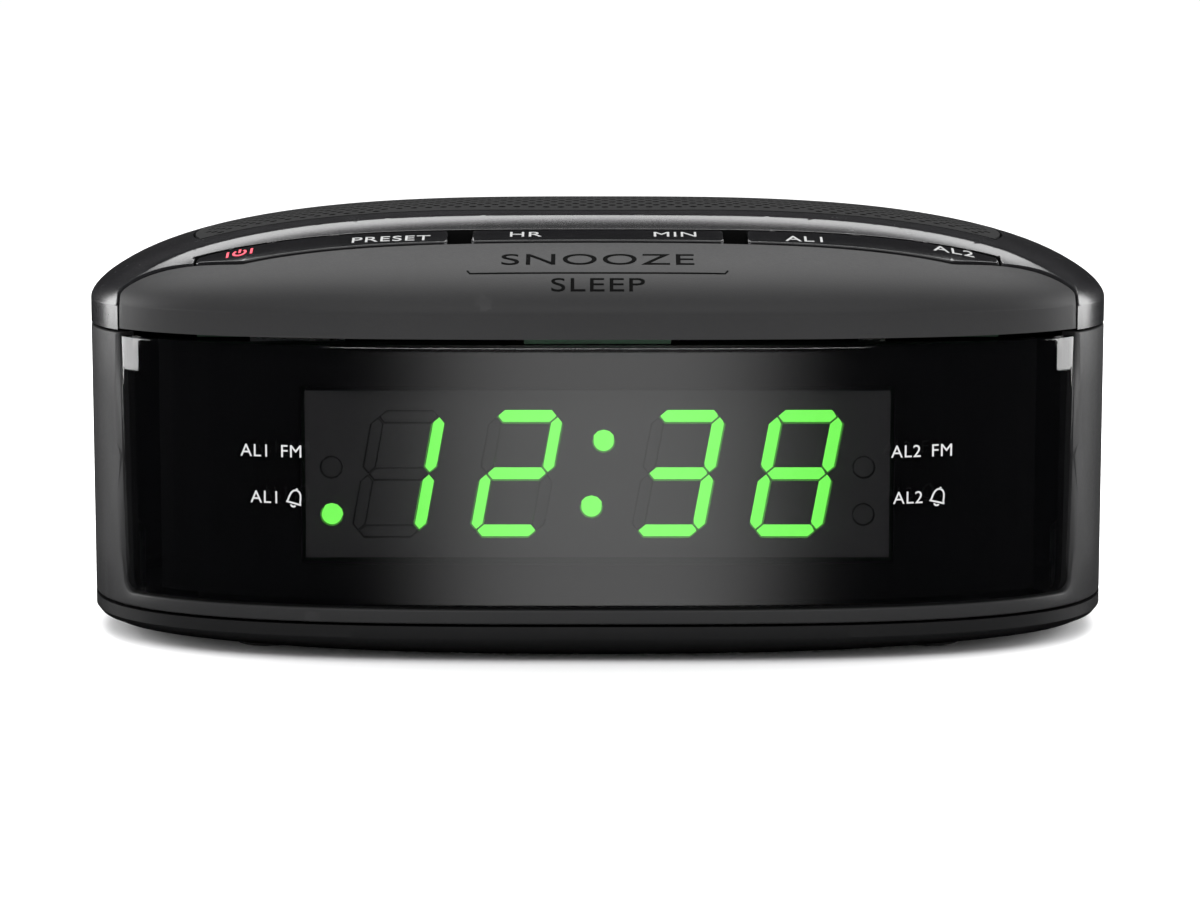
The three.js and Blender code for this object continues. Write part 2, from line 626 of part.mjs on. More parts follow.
function dotPiece(dots, x0, x1) {
  const web = box(x0, x1, WEB_Y, DISPLAY_BACK_Y - GAP, DISPLAY_Z - 8, DISPLAY_Z + 8);
  return union(web, ...dotRods(dots, DISPLAY_FACE_Y + GAP, WEB_Y + 0.5, 0));
}

part('colon_dots', dotPiece(colonDots, -2.6, 2.6), lampGreen);
part('alarm_dots_left', dotPiece(leftDots, -ALARM_DOT_X - 1.6, -ALARM_DOT_X + 1.6), lampGreen);
part('alarm_dots_right', dotPiece(rightDots, ALARM_DOT_X - 1.6, ALARM_DOT_X + 1.6), lampGreen);

const DISPLAY_BOARD_Y = DISPLAY_BACK_Y + GAP;
const displayBoardHalf = DISPLAY_HALF + 3.9;
const displayBoardRise = DISPLAY_HEIGHT / 2 + 2.6;
part('display_board', box(-displayBoardHalf, displayBoardHalf, DISPLAY_BOARD_Y, DISPLAY_BOARD_Y + BOARD,
  DISPLAY_Z - displayBoardRise, DISPLAY_Z + displayBoardRise), boardGreen);

// ---- top bezel with key tray, grille seat and speaker ring ----
const keyCentres = [-1, 0, 1].map((i) => i * (KEY_LENGTH + KEY_NOTCH));
const postPlaces = keyCentres.flatMap((cx) => [cx - KEY_POST_OFFSET, cx + KEY_POST_OFFSET]);
const POST_Y = (SNOOZE_REAR_Y + ROW_GAP + KEY_REAR_Y) / 2 - 0.2;
const POST_RADIUS = 1.1;

function grilleOutline(shrink) {
  const ring = planRing(0, GRILLE_SHARE - shrink / (BODY_WIDTH / 2));
  const round = prism(ring, BELOW_DOME, ABOVE_DOME);
  const front = band((x) => grilleFrontY(x) + shrink, () => WIDEST_Y + REAR_DEPTH + 5,
    -BODY_WIDTH / 2, BODY_WIDTH / 2, BELOW_DOME, ABOVE_DOME);
  return round.intersect(front);
}

function keyTray() {
  const clear = KEYS_HALF + KEY_SIDE_GAP;
  const outer = clear + TRAY_WALL;
  const thick = dome(0).subtract(dome(TRAY_DROP + TRAY_WALL));
  const plan = band((x) => Math.min(snoozeRearY(x), SNOOZE_REAR_Y) - 2.8,
    (x) => keyRearY(x) + KEY_SIDE_GAP + TRAY_WALL, -outer, outer, SHOULDER_Z + 0.5, ABOVE_DOME);
  const pocket = band(ahead, (x) => keyRearY(x) + KEY_SIDE_GAP, -clear, clear,
    BELOW_DOME, ABOVE_DOME);
  const underBar = band(ahead, (x) => snoozeRearY(x) + ROW_GAP, -outer - 1, outer + 1,
    BELOW_DOME, ABOVE_DOME);
  const open = union(pocket, underBar).subtract(dome(TRAY_DROP));
  const ribs = keyCentres.map((cx) => box(cx - 0.6, cx + 0.6, SNOOZE_REAR_Y, KEY_REAR_Y - 0.5,
    BELOW_DOME, ABOVE_DOME));
  const fulcrums = dome(KEY_WALL + GAP).subtract(dome(TRAY_DROP + 0.5)).intersect(union(...ribs));
  const studs = [-1, 1].map((side) => upright(side * (KEY_LENGTH + KEY_NOTCH), POST_Y,
    KEY_BOARD_Z + BOARD + GAP, SHOULDER_Z + 5, 2.2).intersect(dome(TRAY_DROP + 0.5)));
  const pilots = [-1, 1].map((side) => upright(side * (KEY_LENGTH + KEY_NOTCH), POST_Y,
    KEY_BOARD_Z, KEY_BOARD_Z + BOARD + 3, 0.8 + GAP));
  const holes = postPlaces.map((x) => upright(x, POST_Y, BELOW_DOME, ABOVE_DOME, POST_RADIUS + 0.7, 8));
  return thick.intersect(plan).subtract(open)
    .add(union(fulcrums, ...studs))
    .subtract(union(...pilots, ...holes));
}

function topBezel() {
  const shell = dome(0, TOP_SEAM_Z).subtract(dome(WALL, TOP_SEAM_Z - 5));
  const frontCut = band(ahead, (x) => (Math.abs(x) > LENS_HALF ? SNOOZE_TIP_Y : snoozeRearY(x)) + ROW_GAP,
    -LENS_HALF - GAP, LENS_HALF + GAP, TOP_SEAM_Z - 5, ABOVE_DOME);
  const clear = KEYS_HALF + KEY_SIDE_GAP;
  const keyCut = band(ahead, (x) => keyRearY(x) + KEY_SIDE_GAP, -clear, clear,
    TOP_SEAM_Z - 5, ABOVE_DOME);
  const seat = dome(GRILLE_WALL + GAP).subtract(dome(GRILLE_WALL + GAP + 1.4))
    .intersect(grilleOutline(-1).subtract(grilleOutline(2.5)));
  const ring = upright(0, SPEAKER_Y, SPEAKER_TOP_Z + GAP, ABOVE_DOME, SPEAKER_RADIUS + 2.2, 24)
    .subtract(upright(0, SPEAKER_Y, 0, ABOVE_DOME + 1, SPEAKER_RADIUS + 0.7, 24))
    .intersect(dome(WALL / 2))
    .subtract(grilleOutline(0).subtract(dome(GRILLE_WALL + GAP)));
  const tongue = wall(WALL + GAP, WALL + GAP + 1.2, TOP_SEAM_Z - 3, SHOULDER_Z - 0.5)
    .add(wall(WALL / 2, WALL + GAP + 0.5, TOP_SEAM_Z + 0.5, SHOULDER_Z - 0.5))
    .intersect(box(-BODY_WIDTH, BODY_WIDTH, FRONT_Y + 26, BODY_WIDTH, 0, ABOVE_DOME));
  return shell.subtract(frontCut).subtract(keyCut).subtract(grilleOutline(0))
    .add(union(seat, ring, tongue, keyTray()));
}

part('top_bezel', topBezel(), glossBlack);

function grille() {
  const shell = dome(0).subtract(dome(GRILLE_WALL)).intersect(grilleOutline(GAP));
  const holes = [];
  const rowStep = GRILLE_PITCH * Math.sin(Math.PI / 3);
  for (let row = -4; row <= 4; row += 1) {
    for (let i = -4; i <= 4; i += 1) {
      const x = (i + (row % 2 ? 0.5 : 0)) * GRILLE_PITCH;
      const y = SPEAKER_Y + 2 + row * rowStep;
      const inside = Math.hypot(x, y - SPEAKER_Y) < SPEAKER_RADIUS - 2;
      if (inside && y > grilleFrontY(x) + 4) {
        holes.push(upright(x, y, BELOW_DOME, ABOVE_DOME, GRILLE_HOLE, 6));
      }
    }
  }
  return shell.subtract(union(...holes));
}

part('speaker_grille', grille(), matteGrey);

// ---- keys and snooze bar ----
const KEY_PLUNGER_TOP = KEY_BOARD_Z + BOARD + KEY_SWITCH_HEIGHT + KEY_PLUNGER;

function rockerKey(cx) {
  const x0 = cx - KEY_LENGTH / 2;
  const x1 = cx + KEY_LENGTH / 2;
  const outline = band((x) => snoozeRearY(x) + ROW_GAP, keyRearY, x0, x1, BELOW_DOME, ABOVE_DOME);
  const cap = dome(0).subtract(dome(KEY_WALL)).intersect(outline);
  const posts = [-1, 1].map((side) => upright(cx + side * KEY_POST_OFFSET, POST_Y,
    KEY_PLUNGER_TOP + GAP, ABOVE_DOME, POST_RADIUS, 8).intersect(dome(KEY_WALL / 2)));
  return union(cap, ...posts);
}

['power_preset_key', 'hour_minute_key', 'alarm_key'].forEach((name, i) => {
  part(name, rockerKey(keyCentres[i]), glossBlack);
});

function snoozeBar() {
  const shell = dome(0, SNOOZE_LIP_Z).subtract(dome(SNOOZE_WALL, SNOOZE_LIP_Z - 5));
  const outline = band(ahead, snoozeRearY, -LENS_HALF, LENS_HALF, SNOOZE_LIP_Z - 1, ABOVE_DOME);
  const legFront = HINGE_Y - 1.9;
  const trayUnder = TRAY_DROP + TRAY_WALL;
  const feet = [-1, 1].flatMap((side) => {
    const x = side * HINGE_FOOT_X;
    const leg = box(x - 3, x + 3, legFront, legFront + 1.2, KEY_BOARD_Z + BOARD + 1, ABOVE_DOME)
      .intersect(dome(SNOOZE_WALL / 2));
    const foot = box(x - 3, x + 3, legFront, HINGE_Y + 2, KEY_BOARD_Z + BOARD + 1, SHOULDER_Z + 8)
      .intersect(dome(trayUnder + GAP + 0.2));
    return [leg, foot.subtract(dome(trayUnder + GAP + 1.4))];
  });
  const pad = box(-2, 2, SNOOZE_SWITCH_Y - 2, SNOOZE_SWITCH_Y + 2,
    KEY_BOARD_Z + BOARD + SNOOZE_SWITCH_HEIGHT + SNOOZE_PLUNGER + GAP, ABOVE_DOME)
    .intersect(dome(SNOOZE_WALL / 2));
  return shell.intersect(outline).add(union(...feet, pad));
}

part('snooze_bar', snoozeBar(), matteGrey);

// ---- key board with its switches ----
function keyBoard() {
  const strip = box(0.2 - KEYS_HALF, KEYS_HALF - 0.2, POST_Y - 3.15, POST_Y + 4.05,
    KEY_BOARD_Z, KEY_BOARD_Z + BOARD);
  const tongue = box(-9, 9, SNOOZE_SWITCH_Y - 2.6, POST_Y, KEY_BOARD_Z, KEY_BOARD_Z + BOARD);
  const holes = [-1, 1].map((side) => upright(side * (KEY_LENGTH + KEY_NOTCH), POST_Y,
    KEY_BOARD_Z - 1, KEY_BOARD_Z + BOARD + 1, 0.8 + GAP));
  return strip.add(tongue).subtract(union(...holes));
}

part('key_board', keyBoard(), boardGreen);
[-1, 1].forEach((side, i) => {
  const x = side * (KEY_LENGTH + KEY_NOTCH);
  const headZ = KEY_BOARD_Z - GAP - 1.2;
  const tipZ = KEY_BOARD_Z + BOARD + 2.6;
  part(`key_board_screw_${i + 1}`, screw(x, POST_Y, headZ, tipZ, 0.8, 1.7, 1.2), steel);
});

const switchTopZ = KEY_BOARD_Z + BOARD + KEY_SWITCH_HEIGHT;
const halfSwitch = SWITCH_SIZE / 2;
postPlaces.forEach((x, i) => {
  const body = box(x - halfSwitch, x + halfSwitch, POST_Y - halfSwitch, POST_Y + halfSwitch,
    KEY_BOARD_Z + BOARD + GAP / 3, switchTopZ - 0.8);
  const plunger = upright(x, POST_Y, switchTopZ - 1, KEY_PLUNGER_TOP, PLUNGER_RADIUS);
  part(`key_switch_${i + 1}`, union(body, plunger), chipBlack);
});

const snoozeSwitchTop = KEY_BOARD_Z + BOARD + SNOOZE_SWITCH_HEIGHT;
const snoozeBody = box(-halfSwitch, halfSwitch, SNOOZE_SWITCH_Y - halfSwitch + 0.5,
  SNOOZE_SWITCH_Y + halfSwitch - 0.5, KEY_BOARD_Z + BOARD + GAP / 3, snoozeSwitchTop);
const snoozePlunger = upright(0, SNOOZE_SWITCH_Y, snoozeSwitchTop - 0.5, snoozeSwitchTop + SNOOZE_PLUNGER,
  PLUNGER_RADIUS);
part('snooze_switch', union(snoozeBody, snoozePlunger), chipBlack);

// ---- loudspeaker, facing up ----
const basketZ = SPEAKER_TOP_Z - SPEAKER_DEPTH;
const magnetLowZ = basketZ - 0.5 - MAGNET_HEIGHT;
const mouth = SPEAKER_RADIUS - 3;
const neck = MAGNET_RADIUS - 1;
part('speaker_frame', turned([
  [mouth + 0.6, SPEAKER_TOP_Z - 3.2], [neck + 0.6, basketZ + 0.2], [neck + 0.6, basketZ - 0.2],
  [4.4, basketZ - 0.2], [4.4, basketZ + 0.8], [neck, basketZ + 0.8], [mouth, SPEAKER_TOP_Z - 3],
  [mouth, SPEAKER_TOP_Z],
  [SPEAKER_RADIUS, SPEAKER_TOP_Z], [SPEAKER_RADIUS, SPEAKER_TOP_Z - 1], [mouth + 0.6, SPEAKER_TOP_Z - 1],
  [mouth + 0.6, SPEAKER_TOP_Z - 3.2],
].reverse(), 0, SPEAKER_Y), steel);
part('speaker_cone', turned([
  [0, basketZ + 4.6], [3, basketZ + 4.2], [4, basketZ + 3.2], [mouth - 2, SPEAKER_TOP_Z - 0.9],
  [mouth - 0.6, SPEAKER_TOP_Z - 0.5], [mouth - 0.6, SPEAKER_TOP_Z - 1.1], [mouth - 2, SPEAKER_TOP_Z - 1.6],
  [3.6, basketZ + 2.4], [3.6, basketZ + 0.6], [3, basketZ + 0.6], [3, basketZ + 3.4], [0, basketZ + 3.8],
].reverse(), 0, SPEAKER_Y), paper);
part('speaker_magnet', turned([
  [0, basketZ - 0.5], [MAGNET_RADIUS, basketZ - 0.5], [MAGNET_RADIUS, magnetLowZ],
  [0, magnetLowZ],
].reverse(), 0, SPEAKER_Y, 24), ferrite);

// ---- main board and what stands on it ----
const boardTop = MAIN_BOARD_Z + BOARD;
const seatZ = boardTop + GAP;

const boardX = BAY_X[0] + 2;
const boardY = BAY_Y[0] - 3;
const boardEndX = CORE.x - CORE.width / 2 - 2.5;
const boardEndY = BAY_Y[1] + 10;

function mainBoard() {
  const sheet = box(boardX, boardEndX, boardY, boardEndY, MAIN_BOARD_Z, boardTop);
  const holes = PILLARS.map(
    ([x, y]) => upright(x, y, MAIN_BOARD_Z - 1, boardTop + 1, BOARD_SCREW_RADIUS + GAP),
  );
  return sheet.subtract(union(...holes));
}

// a component's block, placed from the board's front left corner
function onBoard(x, y, width, depth, height) {
  return box(boardX + x, boardX + x + width, boardY + y, boardY + y + depth, seatZ, seatZ + height);
}

part('main_board', mainBoard(), boardGreen);
PILLARS.forEach(([x, y], i) => {
  const head = upright(x, y, seatZ, seatZ + 1.4, 2);
  const shaft = upright(x, y, MAIN_BOARD_Z - 6.5, seatZ + 0.5, BOARD_SCREW_RADIUS, 8);
  part(`main_board_screw_${i + 1}`, union(head, shaft), steel);
});
part('tuner_can', onBoard(4, 15, 20, 16, 5.5), steel);
part('clock_chip', onBoard(30, 7, 12, 12, 1.6), chipBlack);
part('amplifier_chip', onBoard(30, 23, 9.5, 6.4, 3.3), chipBlack);
const capacitorTopZ = magnetLowZ - 2.2;
[12, 23].forEach((y, i) => {
  part(`filter_capacitor_${i + 1}`, upright(boardX + 51, boardY + y, seatZ, capacitorTopZ, 4.5, 16), sleeve);
});

// ---- ribbon cables ----
const RIBBON = 0.8;
const ribbonStart = DISPLAY_BOARD_Y + BOARD + GAP;
const ribbonLowZ = DISPLAY_Z - 11;
const ribbonEndY = boardY + 1.4;
part('display_ribbon', sideways([
  [ribbonStart, ribbonLowZ], [ribbonStart + RIBBON, ribbonLowZ], [ribbonStart + RIBBON, seatZ + 3],
  [ribbonStart + 2, seatZ + 4.6], [ribbonStart + 4, seatZ + 4.6], [ribbonEndY, seatZ + 2.6],
  [ribbonEndY, seatZ], [ribbonEndY + RIBBON, seatZ], [ribbonEndY + RIBBON, seatZ + 3],
  [ribbonStart + 4.4, seatZ + 5.4], [ribbonStart + 1.6, seatZ + 5.4], [ribbonStart, seatZ + 3.4],
].map(([y, z]) => new THREE.Vector2(y, z)), -30, -14), flexGrey);
const flexTopZ = KEY_BOARD_Z - GAP;
const flexTopY = POST_Y + 2.85;
const flexEndY = boardY + 2.6;
const flexBendZ = seatZ + 8.6;
part('key_ribbon', sideways([
  [flexTopY, flexTopZ], [flexTopY, flexTopZ - 2.7], [flexEndY, flexBendZ], [flexEndY, seatZ],
  [flexEndY + RIBBON, seatZ], [flexEndY + RIBBON, flexBendZ + 0.2], [flexTopY + RIBBON, flexTopZ - 2.5],
  [flexTopY + RIBBON, flexTopZ],
].map(([y, z]) => new THREE.Vector2(y, z)), -44, -32), flexGrey);

// ---- mains transformer ----
const coreLow = FLOOR_TOP_Z + GAP;
const yoke = CORE.leg / 2;

function transformerCore() {
  const { x, y, width, height, stack, leg, window } = CORE;
  const block = box(x - width / 2, x + width / 2, y - stack / 2, y + stack / 2, coreLow, coreLow + height);
  const windows = [-1, 1].map((side) => {
    const inner = x + side * (leg / 2);
    const outer = inner + side * window;
    return box(Math.min(inner, outer), Math.max(inner, outer), y - stack, y + stack,
      coreLow + yoke, coreLow + height - yoke);
  });
  return block.subtract(union(...windows));
}

part('transformer_core', transformerCore(), steel);

function transformerCoil() {
  const { x, y, height, stack, leg, window } = CORE;
  const z0 = coreLow + yoke + GAP;
  const z1 = coreLow + height - yoke - GAP;
  const reach = window - GAP;
  const outer = box(x - leg / 2 - reach, x + leg / 2 + reach,
    y - stack / 2 - reach, y + stack / 2 + reach, z0, z1);
  const inner = box(x - leg / 2 - GAP, x + leg / 2 + GAP, y - stack / 2 - GAP, y + stack / 2 + GAP, 0, 50);
  return outer.subtract(inner);
}

part('transformer_coil', transformerCoil(), copper);

function transformerBracket() {
  const { x, y, width, height } = CORE;
  const half = width / 2 + GAP;
  const top = coreLow + height + GAP;
  const strap = box(x - half - BRACKET_WALL, x + half + BRACKET_WALL, y - 5, y + 5,
    coreLow, top + BRACKET_WALL)
    .subtract(box(x - half, x + half, y - 6, y + 6, 0, top));
  const lugs = lugX.map((cx) => box(cx - LUG_OUT / 2 - 0.2, cx + LUG_OUT / 2 + 0.2, y - 5, y + 5,
    coreLow, coreLow + BRACKET_WALL));
  const holes = lugX.map((cx) => upright(cx, y, 0, coreLow + 5, LUG_PEG + GAP));
  return union(strap, ...lugs).subtract(union(...holes));
}

part('transformer_bracket', transformerBracket(), steel);

export default radio;
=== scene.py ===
"""Looks of a compact clock radio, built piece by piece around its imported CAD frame."""

import json
import math

import bpy
import bmesh
import numpy as np
from bpy.props import FloatProperty, FloatVectorProperty, PointerProperty, StringProperty
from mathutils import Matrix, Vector
from mathutils.geometry import delaunay_2d_cdt


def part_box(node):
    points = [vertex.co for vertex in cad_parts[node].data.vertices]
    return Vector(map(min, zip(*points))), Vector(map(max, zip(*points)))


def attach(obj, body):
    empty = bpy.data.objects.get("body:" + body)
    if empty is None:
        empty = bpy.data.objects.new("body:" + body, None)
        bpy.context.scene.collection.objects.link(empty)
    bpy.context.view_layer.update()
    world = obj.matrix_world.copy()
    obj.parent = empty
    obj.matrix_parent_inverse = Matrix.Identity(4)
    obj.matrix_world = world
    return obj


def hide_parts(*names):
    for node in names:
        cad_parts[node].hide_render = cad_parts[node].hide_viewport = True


bl_info = {
    "name": "Clock Radio",
    "version": (1, 0, 0),
    "blender": (4, 5, 0),
    "location": "3D View > Sidebar > Clock Radio",
    "description": "Builds the finished look of a compact clock radio piece by piece",
    "category": "Add Mesh",
}

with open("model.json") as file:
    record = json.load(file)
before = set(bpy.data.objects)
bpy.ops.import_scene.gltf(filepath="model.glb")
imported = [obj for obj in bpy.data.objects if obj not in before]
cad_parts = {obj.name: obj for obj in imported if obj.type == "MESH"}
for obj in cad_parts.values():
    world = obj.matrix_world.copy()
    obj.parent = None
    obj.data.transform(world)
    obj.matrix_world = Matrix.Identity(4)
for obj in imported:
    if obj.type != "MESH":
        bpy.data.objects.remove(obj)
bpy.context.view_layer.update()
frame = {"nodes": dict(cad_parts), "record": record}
MM = 0.001
GAP = 0.3 * MM


def frame_box(node):
    """Lowest and highest corner of a CAD node."""
    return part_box(node)


# ---- sizes and colours that a user may change ----
def length(name, description, default):
    """A length property whose default is given in metres."""
    return FloatProperty(
        name=name, description=description, default=default, min=0.0, unit="LENGTH", precision=5
    )


def place(name, description, default):
    """A signed position along one axis, in metres."""
    return FloatProperty(name=name, description=description, default=default, unit="LENGTH", precision=5)


def colour(name, description, default):
    """A linear colour property."""
    return FloatVectorProperty(
        name=name, description=description, default=default, size=3, min=0.0, max=1.0, subtype="COLOR"
    )


HOUSING_LOW, HOUSING_HIGH = frame_box("housing_shell")
BASE_LOW, BASE_HIGH = frame_box("base_cover")
LENS_LOW, LENS_HIGH = frame_box("front_lens")
BEZEL_LOW, BEZEL_HIGH = frame_box("top_bezel")
SNOOZE_LOW, SNOOZE_HIGH = frame_box("snooze_bar")
DISPLAY_LOW, DISPLAY_HIGH = frame_box("display_reflector")
DOOR_LOW, DOOR_HIGH = frame_box("battery_door")


class CabinetSizes(bpy.types.PropertyGroup):
    """Sizes of the cabinet's outline and domed top."""

    half_width: length("Half width", "From the middle to either side", HOUSING_HIGH.x)
    widest_y: place("Widest line", "Where along the depth the cabinet is widest", 5 * MM)
    plan_power: FloatProperty(name="Squareness", description="Squareness of the plan outline", default=3.07)
    shoulder: length("Shoulder height", "Where the upright wall turns into the dome", 43.1 * MM)
    crown: length("Crown", "Height of the dome above the shoulder", 11.8 * MM)
    crown_power: FloatProperty(name="Crown fullness", description="How full the dome is", default=0.6)
    wall: length("Wall", "Thickness of the cabinet wall", 2 * MM)
    base_tuck: length("Base tuck", "How far the base draws in at the bottom", 3 * MM)
    base_power: FloatProperty(
        name="Base squareness", description="Squareness of its bottom outline in front", default=2.35
    )
    foot_proud: length("Foot height", "How far the feet lift the base", BASE_LOW.z)
    ridge_rise: length("Ridge rise", "Height of the crest in front of the grille", 0.5 * MM)


class TopSizes(bpy.types.PropertyGroup):
    """Sizes of the snooze bar, the keys and the grille."""

    snooze_rear: place("Snooze rear", "Rear edge of the snooze bar on the centre line", -21.7 * MM)
    snooze_corner: length("Snooze corner", "Where the rear edge starts to sweep back", 44 * MM)
    snooze_tip: place("Snooze tip", "Where the rear edge meets the wall", -18.6 * MM)
    snooze_wall: length("Snooze wall", "Thickness of the snooze bar", 1.8 * MM)
    key_length: length("Key length", "Length of a rocker key", 31.4 * MM)
    key_notch: length("Key notch", "Space between two keys", 3.1 * MM)
    key_rear: place("Key rear", "Rear edge of the keys on the centre line", -17.4 * MM)
    grille_front: place("Grille front", "Front edge of the grille on the centre line", -7.2 * MM)
    grille_share: FloatProperty(name="Grille share", description="Share of the outline it fills", default=0.8)
    hole_pitch: length("Hole pitch", "Distance between neighbouring sound holes", 1.9 * MM)
    hole_radius: length("Hole radius", "Radius of a sound hole", 0.52 * MM)


class DisplaySizes(bpy.types.PropertyGroup):
    """Sizes of the four-digit display and what it shows."""

    reading: StringProperty(name="Reading", description="The four digits that are lit", default="1238")
    digit_x: FloatVectorProperty(
        name="Digit places",
        description="Middle of each digit across the face",
        size=4,
        default=(-24.6 * MM, -10 * MM, 10 * MM, 24.6 * MM),
        unit="LENGTH",
        precision=5,
    )
    digit_width: length("Digit width", "Between the upright segments' middles", 7.56 * MM)
    digit_step: length("Digit step", "Between the level segments' middles", 7.14 * MM)
    segment: length("Segment", "Width of a segment", 1.3 * MM)
    slant: FloatProperty(
        name="Slant", description="Lean of the digits", default=math.radians(10.5), subtype="ANGLE"
    )
    dot_radius: length("Dot radius", "Radius of a dot", 1.25 * MM)
    glow: FloatProperty(name="Glow", description="Brightness of the lit segments", default=5.2, min=0.0)


class Finishes(bpy.types.PropertyGroup):
    """Colours of the clock radio."""

    housing: colour("Housing", "Matte moulded housing", (0.016, 0.016, 0.0165))
    base: colour("Base", "Matte base cover", (0.005, 0.005, 0.0053))
    bezel: colour("Bezel", "Glossy top bezel", (0.008, 0.008, 0.009))
    keys: colour("Keys", "Satin rocker keys", (0.006, 0.006, 0.0065))
    snooze: colour("Snooze bar", "Matte snooze bar", (0.018, 0.018, 0.0185))
    grille: colour("Grille", "Perforated grille", (0.006, 0.006, 0.0062))
    lens: colour("Lens", "Smoked front lens", (0.0015, 0.0015, 0.0017))
    face: colour("Display face", "Face around the segments", (0.20, 0.20, 0.205))
    lamp: colour("Lit segments", "Light of a lit segment", (0.20, 1.0, 0.11))
    legend: colour("Legends", "Printed legends on the lens", (0.45, 0.45, 0.45))
    key_legend: colour("Key legends", "Printed legends on the keys", (0.26, 0.26, 0.26))
    power_legend: colour("Power legend", "Printed power legend", (0.70, 0.012, 0.05))
    engraving: colour("Engraving", "Ink in the engraved legends", (0.002, 0.002, 0.002))
    floor: colour("Floor", "Studio floor", (0.90, 0.90, 0.905))


# ---- the cabinet's shape ----
def cabinet():
    return bpy.context.scene.clock_cabinet


def top_sizes():
    return bpy.context.scene.clock_top


def finishes():
    return bpy.context.scene.clock_finishes


def front_depth():
    return cabinet().widest_y - LENS_LOW.y


def rear_depth():
    return HOUSING_HIGH.y - cabinet().widest_y


def plan_terms(x, y, inset):
    """How far a plan point lies out towards the side, and towards the front or the rear."""
    sizes = cabinet()
    depth = front_depth() if y < sizes.widest_y else rear_depth()
    across = abs(x / (sizes.half_width - inset)) ** sizes.plan_power
    along = abs((y - sizes.widest_y) / (depth - inset)) ** sizes.plan_power
    return across, along


def dome_height(x, y, inset=0.0):
    """Height of the domed top over a plan point, drawn in by an inset."""
    sizes = cabinet()
    across, along = plan_terms(x, y, inset)
    total = across + along
    if total >= 1:
        return sizes.shoulder
    sideways = across / total if total > 0 else 0
    base = 2 if y < sizes.widest_y else 3
    power = base + (3 - base) * sideways
    share = total ** (1 / sizes.plan_power)
    return sizes.shoulder + (sizes.crown - inset) * (1 - share**power) ** sizes.crown_power


def front_y(x, inset=0.0):
    """The plan outline's y at x, on the front side."""
    sizes = cabinet()
    share = min(1.0, abs(x / (sizes.half_width - inset)) ** sizes.plan_power)
    return sizes.widest_y - (front_depth() - inset) * (1 - share) ** (1 / sizes.plan_power)


def plan_point(angle, inset=0.0, share=1.0):
    """A point of the plan outline, at an angle counted from the right-hand side."""
    sizes = cabinet()
    power = 2 / sizes.plan_power
    across, along = math.cos(angle), math.sin(angle)
    depth = front_depth() if along < 0 else rear_depth()
    x = (sizes.half_width - inset) * math.copysign(abs(across) ** power, across)
    y = (depth - inset) * math.copysign(abs(along) ** power, along)
    return x * share, sizes.widest_y + y * share


def front_angle(x):
    """The angle of the outline's front point at x."""
    sizes = cabinet()
    return -math.acos(math.copysign(abs(x / sizes.half_width) ** (sizes.plan_power / 2), x))


def even_angles(start, end, step):
    """Angles from start to end whose outline points lie evenly spaced, a step apart."""
    dense = np.linspace(start, end, 6001)
    points = np.array([plan_point(angle) for angle in dense])
    run = np.concatenate([[0], np.cumsum(np.hypot(*np.diff(points, axis=0).T))])
    count = max(2, round(run[-1] / step))
    return np.interp(np.linspace(0, run[-1], count + 1), run, dense)


SNOOZE_REAR_RADIUS = 650 * MM
KEY_REAR_RADIUS = 900 * MM
GRILLE_FRONT_RADIUS = 450 * MM


def arc_sag(x, radius):
    return radius - math.sqrt(radius * radius - x * x)


def snooze_rear_y(x):
    """Rear edge of the snooze bar: a shallow arc whose ends sweep back to the wall."""
    sizes = top_sizes()
    reach = abs(x)
    middle = sizes.snooze_rear - arc_sag(min(reach, sizes.snooze_corner), SNOOZE_REAR_RADIUS)
    if reach <= sizes.snooze_corner:
        return middle
    along = min(1.0, (reach - sizes.snooze_corner) / (SNOOZE_HIGH.x - sizes.snooze_corner))
    return middle + (sizes.snooze_tip - middle) * math.sin(along * math.pi / 2) ** 1.2


def key_rear_y(x):
    return top_sizes().key_rear - arc_sag(x, KEY_REAR_RADIUS)


def grille_front_y(x):
    return top_sizes().grille_front - arc_sag(x, GRILLE_FRONT_RADIUS)


def ridge_y(x):
    """The crest that runs across the top, between the keys and the grille."""
    return -(12.2 + 4.3 * (x / (50 * MM)) ** 2) * MM


def ridge_height(x, y):
    """How far the top stands above the dome beside the crest, hollow in front of it and behind it."""
    ahead = ridge_y(x) - y
    reach = 3.4 * MM if ahead > 0 else 3 * MM
    share = max(0.0, 1 - abs(ahead) / reach)
    fade = min(1.0, max(0.0, (60.5 * MM - abs(x)) / (9 * MM)))
    return cabinet().ridge_rise * share**2 * fade


# ---- mesh making ----
def finish_mesh(
    name, positions, faces, body, slot, replaced=(), sharp=math.radians(34), materials=(), skin=None
):
    """Links a closed mesh as a piece that rides on a body and stands for its CAD nodes.
    Skin gives the exact normals of the points of its smooth upper skin."""
    mesh = bpy.data.meshes.new(name)
    mesh.from_pydata([tuple(p) for p in positions], [], [tuple(f) for f in faces])
    work = bmesh.new()
    work.from_mesh(mesh)
    bmesh.ops.remove_doubles(work, verts=work.verts, dist=1e-8)
    loose = [v for v in work.verts if not v.link_faces]
    bmesh.ops.delete(work, geom=loose, context="VERTS")
    bmesh.ops.recalc_face_normals(work, faces=work.faces)
    work.to_mesh(mesh)
    work.free()
    mesh.shade_smooth()
    mesh.set_sharp_from_angle(angle=sharp)
    if skin:
        mesh.normals_split_custom_set(skin_normals(mesh, skin))
    piece = bpy.data.objects.new(name, mesh)
    bpy.context.scene.collection.objects.link(piece)
    for material in materials:
        mesh.materials.append(material)
    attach(piece, body)
    if replaced:
        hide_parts(*replaced)
    return piece


def rounded_key(point):
    return tuple(round(c * 1e8) for c in point)


